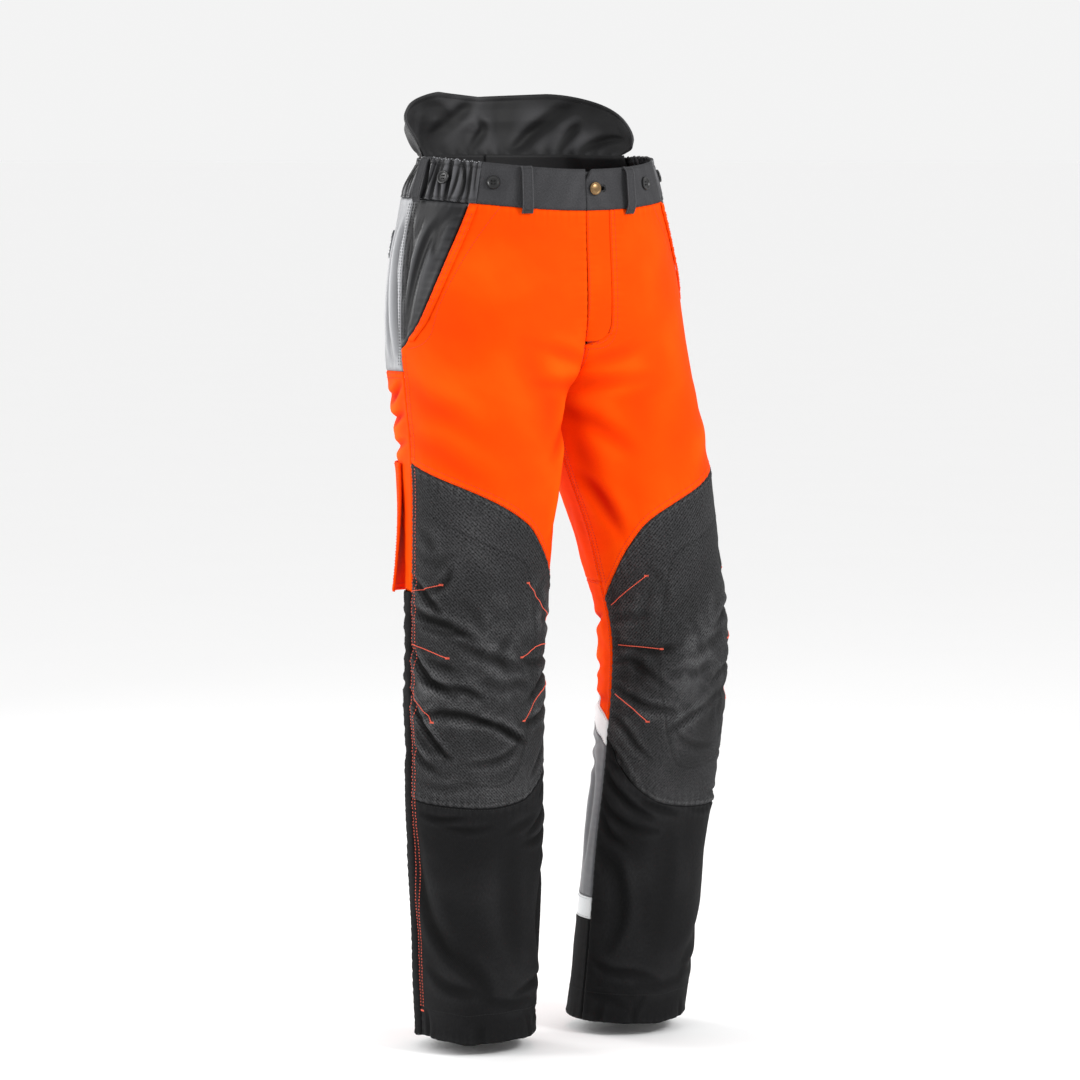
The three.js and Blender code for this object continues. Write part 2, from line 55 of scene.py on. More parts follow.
# ------------------------------------------------------------------ body surface
SECTIONS = np.array([
    [-1085, 188, 39, 114, -119, 29, -45, -45, -45, 7],
    [-992, 198, 42, 120, -126, 16, -55, -55, -55, 7],
    [-864, 211, 44, 127, -134, -3, -68, -68, -68, 7],
    [-736, 224, 51, 137, -147, -15, -81, -81, -81, 7],
    [-608, 229, 54, 141, -160, -19, -90, -90, -90, 7],
    [-480, 219, 38, 129, -158, 9, -75, -75, -75, 6],
    [-350, 208, 10, 110, -152, 54, -50, -50, -50, 2],
    [-290, 202, 3, 103, -147, 84, -28, -38, -20, 1],
    [-262, 200, 0, 95, -143, 98, -18, -88, 40, 0],
    [-225, 198, 0, 84, -138, 110, -8, -116, 82, 0],
    [-160, 194, 0, 60, -132, 117, -3, -127, 106, 0],
    [-100, 188, 0, 36, -127, 117, 0, -125, 113, 0],
    [-50, 178, 0, 20, -124, 117, 0, -123, 116, 0],
    [18, 156, 0, 12, -120, 115, 0, -120, 115, 0]], float)
ROUNDNESS = 2.15
LEG_START = -350
HEM = -1085.0


def curve_through(xs, ys):
    xs, ys = np.asarray(xs, float), np.asarray(ys, float)
    slope = np.diff(ys) / np.diff(xs)
    tangent = np.zeros(len(xs))
    tangent[0], tangent[-1] = slope[0], slope[-1]
    for i in range(1, len(xs) - 1):
        product = slope[i - 1] * slope[i]
        tangent[i] = 2 * product / (slope[i - 1] + slope[i]) if product > 0 else 0

    def at(x):
        x = np.clip(np.asarray(x, float), xs[0], xs[-1])
        i = np.clip(np.searchsorted(xs, x) - 1, 0, len(xs) - 2)
        h = xs[i + 1] - xs[i]
        t = (x - xs[i]) / h
        a = 2 * t ** 3 - 3 * t ** 2 + 1
        b = t ** 3 - 2 * t ** 2 + t
        c = t ** 3 - t ** 2
        return a * ys[i] + b * h * tangent[i] + (1 - a) * ys[i + 1] + c * h * tangent[i + 1]
    return at


def smooth(t):
    t = np.clip(t, 0, 1)
    return t * t * (3 - 2 * t)


class Surface:
    """The garment's outer face as a table over height and s: 0 front centre or inseam, 1 side, 2 back."""
    def __init__(self, dz=2.5, columns=480):
        self.z = np.arange(HEM - 10, 24, dz)
        self.s = np.linspace(0, 2, columns + 1)
        curves = [curve_through(SECTIONS[:, 0], SECTIONS[:, k]) for k in range(1, 10)]
        xo, xi, xm, yf, yb, ym, y0, y1, twist = [c(self.z)[:, None] for c in curves]
        y1 = np.where(self.z[:, None] < LEG_START, y0, y1)
        t = np.linspace(0, math.pi / 2, 49)[None, :]
        c, s = np.abs(np.cos(t)) ** (2 / ROUNDNESS), np.abs(np.sin(t)) ** (2 / ROUNDNESS)
        quarters = [(xm + (xi - xm) * c, y0 + (yf - y0) * s), (xm + (xo - xm) * s, ym + (yf - ym) * c),
                    (xm + (xo - xm) * c, ym + (yb - ym) * s), (xm + (xi - xm) * s, y1 + (yb - y1) * c)]
        cx, cy, angle = (xo + xi) / 2, (yf + yb) / 2, np.radians(twist)
        x = [cx + (qx - cx) * np.cos(angle) - (qy - cy) * np.sin(angle) for qx, qy in quarters]
        y = [cy + (qx - cx) * np.sin(angle) + (qy - cy) * np.cos(angle) for qx, qy in quarters]
        self.point = np.zeros((len(self.z), columns + 1, 3))
        self.length = np.zeros((len(self.z), 2))
        half = columns // 2
        for row in range(len(self.z)):
            for part, (first, second) in enumerate(((0, 1), (2, 3))):
                px = np.concatenate([x[first][row], x[second][row][1:]])
                py = np.concatenate([y[first][row], y[second][row][1:]])
                run = np.concatenate([[0], np.cumsum(np.hypot(np.diff(px), np.diff(py)))])
                self.length[row, part] = run[-1]
                want = np.linspace(0, run[-1], half + 1)
                cols = slice(part * half, part * half + half + 1)
                self.point[row, cols, 0] = np.interp(want, run, px)
                self.point[row, cols, 1] = np.interp(want, run, py)
            self.point[row, :, 2] = self.z[row]
        across = np.gradient(self.point, axis=1)
        up = np.gradient(self.point, axis=0)
        normal = np.cross(across, up)
        self.normal = normal / np.linalg.norm(normal, axis=-1, keepdims=True)

    def _look(self, table, s, z):
        fz = np.clip((z - self.z[0]) / (self.z[1] - self.z[0]), 0, len(self.z) - 1.001)
        fs = np.clip(s / (self.s[1] - self.s[0]), 0, len(self.s) - 1.001)
        i, j = fz.astype(int), fs.astype(int)
        a, b = (fz - i)[..., None], (fs - j)[..., None]
        return ((table[i, j] * (1 - b) + table[i, j + 1] * b) * (1 - a)
                + (table[i + 1, j] * (1 - b) + table[i + 1, j + 1] * b) * a)

    def girth(self, z):
        return np.interp(z, self.z, self.length[:, 0])

    def at(self, s, z, side, lift):
        """Points lifted off the surface, in metres, and the outward normals."""
        s, z, lift = np.broadcast_arrays(np.asarray(s, float), np.asarray(z, float), np.asarray(lift, float))
        normal = self._look(self.normal, s, z)
        normal /= np.linalg.norm(normal, axis=-1, keepdims=True)
        place = self._look(self.point, s, z)
        extra = z - np.clip(z, self.z[0], self.z[-1])
        place[..., 2] += extra
        place = place + normal * lift[..., None]
        near = (z > -300) & (place[..., 0] < 0.25)
        place[..., 0] = np.where(near, 0.25, place[..., 0])
        sign = np.array([side, 1, 1])
        return place * sign * MM, normal * sign


surface = Surface()

# ------------------------------------------------------------------ seam lines, as in the solids
BAND_HEIGHT = 51.0


def band_top(s):
    return 7.5 * (1 - np.cos(np.pi * np.minimum(np.asarray(s, float) / 1.05, 1)))


def band_bottom(s):
    return band_top(s) - BAND_HEIGHT


def pocket_slant(z):
    t = (-np.asarray(z, float) - 45) / 175
    return 0.64 + 0.187 * t + 0.115 * t * t + 0.033 * smooth((t - 0.8) / 0.2)


colour_seams = {
    "right": curve_through([0, 0.1, 0.2, 0.31, 0.42, 0.7, 1], [-546, -516, -491, -462, -434, -392, -361]),
    "left": curve_through([0, 0.1, 0.2, 0.31, 0.42, 0.7, 1], [-538, -505, -470, -440, -422, -389, -361])}
knee_bottoms = {
    "right": curve_through([0, 0.1, 0.24, 0.36, 0.55, 0.8, 1], [-705, -735, -762, -778, -784, -780, -775]),
    "left": curve_through([0, 0.1, 0.24, 0.36, 0.55, 0.8, 1], [-712, -752, -784, -799, -806, -808, -805])}


def seat_bottom(s):
    return -250 - 12 * smooth(np.asarray(s, float) - 1)


def knee_band_top(s):
    return -642 - 53 * np.maximum(np.asarray(s, float) - 1, 0) ** 4


def knee_band_bottom(s):
    return knee_band_top(s) - 32


def level(value):
    return lambda s: np.full(np.shape(s), float(value))


# ------------------------------------------------------------------ folds in the cloth
def spline(points, steps=7):
    p = np.array(points, float)
    p = np.vstack([2 * p[0] - p[1], p, 2 * p[-1] - p[-2]])
    out = []
    for i in range(1, len(p) - 2):
        for t in np.linspace(0, 1, steps, endpoint=False):
            a, b, c, d = p[i - 1], p[i], p[i + 1], p[i + 2]
            out.append(0.5 * (2 * b + (c - a) * t + (2 * a - 5 * b + 4 * c - d) * t ** 2
                              + (3 * b - 3 * c + d - a) * t ** 3))
    out.append(p[-2])
    return np.array(out)


def crease(u, w, points, depth, width, steps=7):
    """A valley with swollen lips along a path; u and w are cloth coordinates in millimetres."""
    path = spline(points, steps)
    out = np.zeros(u.shape)
    reach = width * 2.6
    near = ((u > path[:, 0].min() - reach) & (u < path[:, 0].max() + reach)
            & (w > path[:, 1].min() - reach) & (w < path[:, 1].max() + reach))
    if not near.any():
        return out
    x, y = u[near], w[near]
    best = np.full(x.shape, 1e9)
    along = np.zeros(x.shape)
    segments = len(path) - 1
    for i in range(segments):
        a, d = path[i], path[i + 1] - path[i]
        t = np.clip(((x - a[0]) * d[0] + (y - a[1]) * d[1]) / (d @ d + 1e-9), 0, 1)
        gap = np.hypot(x - a[0] - t * d[0], y - a[1] - t * d[1])
        closer = gap < best
        best = np.where(closer, gap, best)
        along = np.where(closer, (i + t) / segments, along)
    envelope = np.sin(np.pi * np.clip(along * 0.94 + 0.03, 0, 1)) ** 0.7
    q = best / (width * (0.75 + 0.5 * envelope))
    out[near] = -depth * envelope * (1 - 1.7 * q * q) * np.exp(-q * q)
    return out


# Paths are (s, height in mm) pairs; then depth and width in millimetres.
KNEE_OUTER = [
    ([(0.99, -500), (0.93, -512), (0.86, -528), (0.80, -541)], 5.0, 6),
    ([(0.90, -516), (0.82, -511), (0.77, -497), (0.76, -484)], 3.2, 6),
    ([(0.97, -538), (0.88, -548), (0.76, -556), (0.62, -574)], 6.5, 7),
    ([(0.93, -556), (0.80, -564), (0.68, -566)], 3.6, 5),
    ([(0.80, -566), (0.62, -588), (0.48, -602), (0.36, -612)], 4.0, 8),
    ([(0.99, -585), (0.93, -606), (0.84, -628), (0.72, -642)], 6.5, 7),
    ([(0.93, -622), (0.80, -630), (0.66, -636), (0.58, -648)], 4.6, 6),
    ([(0.90, -598), (0.80, -604), (0.70, -612)], 2.8, 6),
    ([(0.99, -640), (0.95, -662), (0.88, -688), (0.80, -710), (0.74, -722)], 7.0, 6),
    ([(0.90, -668), (0.78, -664), (0.66, -668), (0.54, -678)], 6.0, 7),
    ([(0.62, -672), (0.50, -682), (0.40, -696), (0.33, -706)], 7.0, 6),
    ([(0.96, -676), (0.90, -700), (0.82, -716)], 4.2, 6),
    ([(0.66, -728), (0.54, -726), (0.44, -718), (0.36, -700)], 3.4, 6),
    ([(0.98, -706), (0.90, -726), (0.80, -738)], 4.0, 6),
    ([(0.60, -622), (0.48, -632), (0.38, -630), (0.30, -640)], 2.6, 8),
    ([(0.94, -470), (0.84, -480), (0.76, -472)], 2.2, 9),
    ([(0.94, -440), (0.88, -452), (0.84, -470)], 2.0, 8),
    ([(0.72, -520), (0.64, -540), (0.60, -560)], 2.0, 8),
    ([(0.92, -752), (0.78, -758), (0.62, -752)], 2.0, 6),
]
KNEE_INNER = [
    ([(0.04, -560), (0.14, -556), (0.24, -552)], 2.6, 7),
    ([(0.05, -598), (0.16, -604), (0.28, -606), (0.40, -598)], 3.2, 7),
    ([(0.03, -622), (0.12, -618), (0.22, -634), (0.34, -656)], 4.4, 7),
    ([(0.04, -650), (0.14, -664), (0.24, -676), (0.38, -682)], 4.4, 7),
    ([(0.02, -690), (0.10, -700), (0.18, -724), (0.28, -748)], 5.0, 6),
    ([(0.02, -716), (0.09, -734), (0.17, -756)], 4.4, 5),
    ([(0.03, -744), (0.10, -756), (0.20, -776)], 3.6, 5),
    ([(0.28, -520), (0.22, -548), (0.20, -580)], 1.8, 8),
    ([(0.24, -500), (0.30, -520), (0.30, -548)], 1.6, 8),
    ([(0.44, -560), (0.50, -590), (0.46, -620)], 1.6, 9),
]
THIGH = [
    ([(0.02, -236), (0.14, -228), (0.30, -214)], 1.6, 12),
    ([(0.03, -266), (0.18, -268), (0.36, -262)], 2.2, 13),
    ([(0.05, -300), (0.20, -320), (0.32, -352)], 3.0, 15),
    ([(0.98, -262), (0.84, -290), (0.66, -330)], 1.8, 20),
    ([(0.97, -330), (0.80, -352), (0.60, -392)], 1.8, 18),
    ([(0.03, -380), (0.12, -412), (0.16, -456)], 3.0, 12),
    ([(0.10, -280), (0.12, -340), (0.14, -400), (0.20, -460)], 3.0, 16),
    ([(0.34, -200), (0.36, -280), (0.30, -360)], 1.8, 26),
    ([(0.76, -46), (0.84, -88), (0.91, -140), (0.95, -190)], 3.2, 8),
    ([(0.70, -48), (0.77, -70), (0.80, -104)], 2.6, 7),
    ([(0.98, -50), (0.955, -100), (0.98, -160)], 3.0, 7),
    ([(0.88, -46), (0.91, -72), (0.93, -104)], 2.4, 6),
]
BACK = [
    ([(1.04, -60), (1.08, -110), (1.06, -180), (1.02, -230)], 4.2, 8),
    ([(1.14, -64), (1.20, -120), (1.17, -190), (1.09, -240)], 4.0, 9),
    ([(1.27, -70), (1.31, -130), (1.28, -200)], 3.0, 9),
    ([(1.98, -235), (1.72, -246), (1.45, -236)], 4.0, 9),
    ([(1.95, -275), (1.72, -292), (1.48, -286)], 5.0, 9),
    ([(1.92, -310), (1.70, -330), (1.50, -334)], 4.0, 10),
    ([(1.40, -262), (1.56, -270), (1.70, -264)], 2.6, 7),
    ([(1.03, -265), (1.14, -284), (1.26, -280)], 5.0, 7),
    ([(1.03, -300), (1.16, -312), (1.30, -304)], 5.5, 7),
    ([(1.04, -335), (1.18, -344), (1.34, -338)], 4.5, 7),
    ([(1.40, -380), (1.58, -400), (1.76, -396)], 2.4, 14),
    ([(1.90, -420), (1.84, -460), (1.90, -500)], 2.4, 12),
    ([(1.06, -548), (1.22, -562), (1.44, -560), (1.62, -552)], 5.6, 8),
    ([(1.40, -576), (1.62, -582), (1.84, -570), (1.94, -560)], 6.0, 8),
    ([(1.06, -590), (1.28, -606), (1.52, -612), (1.70, -606)], 6.6, 8),
    ([(1.54, -624), (1.72, -632), (1.92, -620)], 5.0, 8),
    ([(1.04, -630), (1.22, -640), (1.44, -650)], 5.0, 8),
    ([(1.20, -580), (1.36, -584), (1.48, -592)], 3.0, 6),
    ([(1.50, -652), (1.74, -668), (1.96, -664)], 4.6, 9),
    ([(1.06, -720), (1.30, -736), (1.58, -742)], 4.0, 10),
    ([(1.40, -780), (1.66, -770), (1.92, -752)], 4.0, 10),
    ([(1.62, -716), (1.78, -728), (1.94, -722)], 3.0, 8),
    ([(1.08, -830), (1.24, -850), (1.46, -842)], 3.0, 12),
    ([(1.86, -740), (1.90, -800), (1.88, -880)], 3.6, 9),
    ([(1.60, -800), (1.66, -850), (1.60, -900)], 3.0, 12),
    ([(1.20, -960), (1.24, -1010), (1.18, -1060)], 3.0, 14),
    ([(1.70, -970), (1.78, -1020), (1.74, -1070)], 3.0, 12),
]
SHIN = [
    ([(0.92, -792), (0.80, -798), (0.68, -796)], 3.4, 5),
    ([(0.80, -806), (0.66, -812), (0.52, -808)], 2.6, 5),
    ([(0.97, -820), (0.95, -870), (0.88, -930), (0.76, -980)], 4.2, 12),
    ([(0.86, -935), (0.74, -972), (0.62, -1000), (0.56, -1030)], 3.0, 13),
    ([(0.90, -990), (0.78, -1012), (0.62, -1020)], 2.6, 9),
    ([(0.03, -765), (0.10, -784), (0.20, -806), (0.32, -822)], 5.0, 6),
    ([(0.02, -790), (0.10, -812), (0.22, -830), (0.36, -834)], 4.4, 6),
    ([(0.02, -812), (0.08, -838), (0.18, -856)], 3.8, 6),
    ([(0.24, -800), (0.34, -808), (0.46, -818)], 2.6, 6),
    ([(0.06, -860), (0.15, -888), (0.19, -940), (0.15, -985)], 3.8, 12),
    ([(0.04, -996), (0.14, -1010), (0.28, -1014), (0.42, -1024)], 3.6, 7),
    ([(0.30, -1030), (0.44, -1036), (0.60, -1028)], 2.2, 8),
    ([(0.42, -830), (0.44, -900), (0.40, -980)], 2.0, 18),
    ([(0.05, -1046), (0.16, -1052), (0.26, -1066)], 2.4, 7),
    ([(0.93, -1044), (0.925, -1064), (0.93, -1088)], 2.2, 5),
    ([(0.35, -1046), (0.30, -1066), (0.31, -1088)], 1.8, 6),
    ([(0.60, -1058), (0.62, -1074), (0.60, -1090)], 1.8, 7),
    ([(0.14, -1050), (0.12, -1070), (0.13, -1088)], 2.0, 6),
]
PATCH = [(0.93, -414), (0.80, -432), (0.685, -447), (0.55, -464), (0.44, -476), (0.385, -490), (0.33, -530),
         (0.275, -578), (0.265, -620), (0.285, -655), (0.33, -700), (0.40, -744), (0.50, -756), (0.65, -752),
         (0.80, -742), (0.94, -726)]


def gentle_waves(u, w, seed, wavelength, amount, count=9):
    rng = np.random.default_rng(seed)
    out = np.zeros(u.shape)
    for _ in range(count):
        angle = rng.uniform(0, math.pi)
        k = 2 * math.pi / (wavelength * rng.uniform(0.7, 1.7))
        bend = rng.uniform(0.4, 1.0) * np.sin(w / (wavelength * 2.3) + rng.uniform(0, 6.28))
        out += np.sin(k * (u * math.cos(angle) + w * math.sin(angle)) + bend + rng.uniform(0, 6.28))
    return amount * out / math.sqrt(count)


def cloth_shape(s, z, side):
    """How far the cloth stands off the smooth body, in millimetres."""
    s, z = np.broadcast_arrays(np.asarray(s, float), np.asarray(z, float))
    u = s * NOMINAL
    seed = 3 if side < 0 else 11
    rng = np.random.default_rng(seed)
    out = np.zeros(s.shape)
    for group in (KNEE_OUTER, KNEE_INNER, THIGH, BACK, SHIN):
        for path, depth, width in group:
            shift = rng.uniform(-1, 1, 2) * ((0, 0) if side < 0 else (4, 5))
            scale = 1 if side < 0 else rng.uniform(0.65, 1.0) * (0.6 if group is KNEE_OUTER else 1)
            points = [(a * NOMINAL + shift[0], b + shift[1]) for a, b in path]
            out += crease(u, z, points, depth * scale, width)
    out += crease(u, z, [(a * NOMINAL, b) for a, b in PATCH], 0.9, 2.6)
    knee = np.exp(-((z + 625) / 120) ** 2)
    out += gentle_waves(u, z, seed + 1, 95, 0.9) * (0.6 + 0.9 * knee)
    out += gentle_waves(u, z, seed + 2, 34, 0.4, 11) * (0.3 + knee)
    out -= np.abs(gentle_waves(u, z, seed + 5, 30, 0.75, 9)) * knee
    out += gentle_waves(u, z, seed + 6, 13, 0.13, 11) * (0.3 + 1.3 * knee)
    calm = smooth((-40 - z) / 40)
    inseam = smooth(s / 0.05) * smooth((2 - s) / 0.05)
    return out * calm * (0.15 + 0.85 * inseam)


# ------------------------------------------------------------------ meshes
def linked(name, mesh):
    obj = bpy.data.objects.new(name, mesh)
    bpy.context.scene.collection.objects.link(obj)
    return obj


def mesh_object(name, verts, faces):
    mesh = bpy.data.meshes.new(name)
    mesh.from_pydata(verts, [], faces)
    mesh.update()
    return linked(name, mesh)


def cloth_object(name, verts, faces, uv, extra):
    """A smooth mesh of four-sided faces with a UV map and point attributes."""
    mesh = bpy.data.meshes.new(name)
    mesh.vertices.add(len(verts))
    mesh.vertices.foreach_set("co", verts.astype(np.float32).ravel())
    mesh.loops.add(faces.size)
    mesh.loops.foreach_set("vertex_index", faces.astype(np.int32).ravel())
    mesh.polygons.add(len(faces))
    mesh.polygons.foreach_set("loop_start", np.arange(0, faces.size, 4, dtype=np.int32))
    mesh.polygons.foreach_set("loop_total", np.full(len(faces), 4, np.int32))
    mesh.update(calc_edges=True)
    layer = mesh.uv_layers.new(name="UVMap")
    layer.data.foreach_set("uv", uv.astype(np.float32)[faces.ravel()].ravel())
    for key, values in extra.items():
        mesh.attributes.new(key, "FLOAT", "POINT").data.foreach_set("value", values.astype(np.float32))
    mesh.polygons.foreach_set("use_smooth", np.full(len(faces), True))
    mesh.validate()
    return linked(name, mesh)


def grid_faces(rows, columns, flip=False):
    index = np.arange(rows * columns).reshape(rows, columns)
    a, b, c, d = index[:-1, :-1], index[1:, :-1], index[1:, 1:], index[:-1, 1:]
    order = (a, d, c, b) if flip else (a, b, c, d)
    return np.stack([x.ravel() for x in order], axis=1)


def closed_sheet(name, outer, inner, flip, uv, extra):
    """A closed cloth body from two matching grids of points, (rows, columns, 3)."""
    rows, columns = outer.shape[:2]
    count = rows * columns
    face = grid_faces(rows, columns, flip)
    back = face[:, ::-1] + count
    index = np.arange(count).reshape(rows, columns)
    rim = np.concatenate([index[0, :-1], index[:-1, -1], index[-1, :0:-1], index[:0:-1, 0]])
    after = np.roll(rim, -1)
    side = np.stack([rim, after, after + count, rim + count], axis=1)
    if flip:
        side = side[:, ::-1]
    verts = np.concatenate([outer.reshape(-1, 3), inner.reshape(-1, 3)])
    uv = np.concatenate([uv.reshape(-1, 2)] * 2)
    extra = {k: np.concatenate([v.ravel()] * 2) for k, v in extra.items()}
    return cloth_object(name, verts, np.concatenate([face, back, side]), uv, extra)


def call(item, value):
    return item(value) if callable(item) else np.full(np.shape(value), float(item))


SEAM_GAP = 0.15          # millimetres between a panel's edge and its seam line


def panel_grid(s0, s1, top, bottom, step):
    """The cloth coordinates of a panel: s and z arrays, (rows, columns), top row first."""
    probe = np.linspace(0, 1, 21)
    tall = float(np.max(call(top, probe) - call(bottom, probe)))
    middle = float(np.mean(call(top, probe) + call(bottom, probe)) / 2)
    wide = float((call(s1, middle) - call(s0, middle)) * surface.girth(middle))
    columns = max(3, int(round(wide / step)) + 1)
    rows = max(3, int(round(tall / step)) + 1)
    u, v = np.meshgrid(np.linspace(0, 1, columns), np.linspace(0, 1, rows))
    z = np.full(u.shape, middle)
    for _ in range(8):
        margin = SEAM_GAP / surface.girth(z)
        low, high = call(s0, z) + margin, call(s1, z) - margin
        s = low + (high - low) * u
        z = (call(top, s) - SEAM_GAP) * (1 - v) + (call(bottom, s) + SEAM_GAP) * v
    return s, z


def cloth_uv(s, z):
    return np.stack([s * NOMINAL * MM, z * MM], axis=-1)


def edge_distance(s, z, s0, s1, top, bottom):
    """Millimetres from each point to the panel's left, right, top and bottom seams."""
    girth = surface.girth(z)
    return ((s - call(s0, z)) * girth, (call(s1, z) - s) * girth,
            call(top, s) - z, z - call(bottom, s))


def seam_profile(distance, swell=0.9, width=7.0):
    """Cloth swells beside a seam and dips right at it."""
    d = np.maximum(distance, 0)
    return swell * np.exp(-((d - width * 0.55) / (width * 0.42)) ** 2) - 1.1 * np.exp(-(d / 1.6) ** 2)


def pucker(distance, along, seed, depth=0.5, pitch=11.0, reach=16.0):
    """Small gathers running away from a stitched seam."""
    rng = np.random.default_rng(seed)
    k = 2 * math.pi / pitch
    wave = np.sin(k * along + 1.7 * np.sin(along / 23.0 + rng.uniform(0, 6)) + rng.uniform(0, 6))
    wave += 0.6 * np.sin(k * 1.73 * along + rng.uniform(0, 6))
    return depth * wave * np.exp(-(np.maximum(distance, 0) / reach) ** 2)


SEAM_SWELL = {"orange_shell": 0.4, "knee_fabric": 1.0, "shin_fabric": 0.7, "seat_grey": 0.5, "calf_grey": 0.5,
              "hip_panel": 0.5, "waistband": 0.5, "elastic": 0.6, "reflective_tape": 0.3}


def cloth_panel(name, side, s0, s1, top, bottom, body, slot, flow=None, lift=0.0, thick=1.5, step=2.8,
                seams=(1, 1, 1, 1), fold=1.0, extra_lift=None):
    """One fabric panel that follows the body, the folds and its own seams, and its (rows, columns)."""
    s, z = panel_grid(s0, s1, top, bottom, step)
    rise = fold * cloth_shape(s, z, side) + lift
    ends = edge_distance(s, z, s0, s1, top, bottom)
    seed = sum(ord(c) for c in name)
    strength = SEAM_SWELL.get(slot, 0.5)
    for k, (distance, active) in enumerate(zip(ends, seams)):
        active = active * strength
        along = z if k < 2 else s * NOMINAL
        rise = rise + active * (seam_profile(distance) + pucker(distance, along, seed + k))
    hang = extra_lift(s, z) if extra_lift else 0
    # Painted light and shade: the fold height is kept so that raised cloth is coloured lighter and creases darker.
    fold_shade_and_wear = np.clip((rise - lift + (hang if slot in ("waistband", "elastic") else 0)) / 5, -1, 1)
    rise = rise + hang
    outer, _ = surface.at(s, z, side, rise)
    inner, _ = surface.at(s, z, side, rise - thick)
    nearest = np.minimum(np.minimum(ends[0], ends[1]), np.minimum(ends[2], ends[3]))
    obj = closed_sheet(name, outer, inner, side > 0, cloth_uv(s, z),
                       {"fold_shade": fold_shade_and_wear, "edge": np.clip(nearest / 20, 0, 1)})
    return attach(obj, body, slot, flow), s.shape


def stands_for(obj, node):
    obj.name = node + "_piece"
    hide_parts(node)


def attach(obj, body, slot, flow=None):
    obj.data.materials.clear()
    obj.data.materials.append(materials[slot])
    if flow:
        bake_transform(obj)
    else:
        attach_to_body(obj, body)
    return obj


def hip_flow(side):
    word = "right" if side < 0 else "left"
    start = Vector((0, -0.05, -0.273))
    return ("pelvis", "thigh_" + word, start, start + Vector((side * 0.68, 0, -0.733)) * 0.175)


def knee_flow(side):
    word = "right" if side < 0 else "left"
    return ("thigh_" + word, "shin_" + word, (side * 0.13, -0.09, -0.548), (side * 0.13, -0.09, -0.752))


# ------------------------------------------------------------------ materials
def linear(value):
    v = value / 255
    return v / 12.92 if v <= 0.04045 else ((v + 0.055) / 1.055) ** 2.4


def colour(r, g=None, b=None):
    if g is None:
        g = b = r
    return (linear(r), linear(g), linear(b), 1.0)


class Nodes:
    """Small helper round one material's node tree."""
    def __init__(self, name):
        self.material = bpy.data.materials.new(name)
        self.material.use_nodes = True
        self.tree = self.material.node_tree
        self.shader = self.tree.nodes["Principled BSDF"]

    def add(self, kind, inputs=None, **settings):
        node = self.tree.nodes.new("ShaderNode" + kind)
        for key, value in settings.items():
            setattr(node, key, value)
        for key, value in (inputs or {}).items():
            self.feed(node.inputs[key], value)
        return node

    def feed(self, socket, value):
        if isinstance(value, bpy.types.NodeSocket):
            self.tree.links.new(value, socket)
        else:
            socket.default_value = value

    def maths(self, operation, a, b=0.0, clamp=False):
        node = self.add("Math", operation=operation, use_clamp=clamp)
        self.feed(node.inputs[0], a)
        self.feed(node.inputs[1], b)
        return node.outputs[0]

    def mix(self, factor, a, b, mode="MIX"):
        node = self.add("Mix", data_type="RGBA", blend_type=mode)
        self.feed(node.inputs["Factor"], factor)
        self.feed([s for s in node.inputs if s.name == "A" and s.type == "RGBA"][0], a)
        self.feed([s for s in node.inputs if s.name == "B" and s.type == "RGBA"][0], b)
        return [s for s in node.outputs if s.type == "RGBA"][0]

    def noise(self, vector, scale, detail=2.0, rough=0.5):
        return self.add("TexNoise", {"Vector": vector, "Scale": scale, "Detail": detail,
                                     "Roughness": rough}).outputs["Fac"]

    def set(self, **values):
        for key, value in values.items():
            self.feed(self.shader.inputs[key.replace("_", " ")], value)
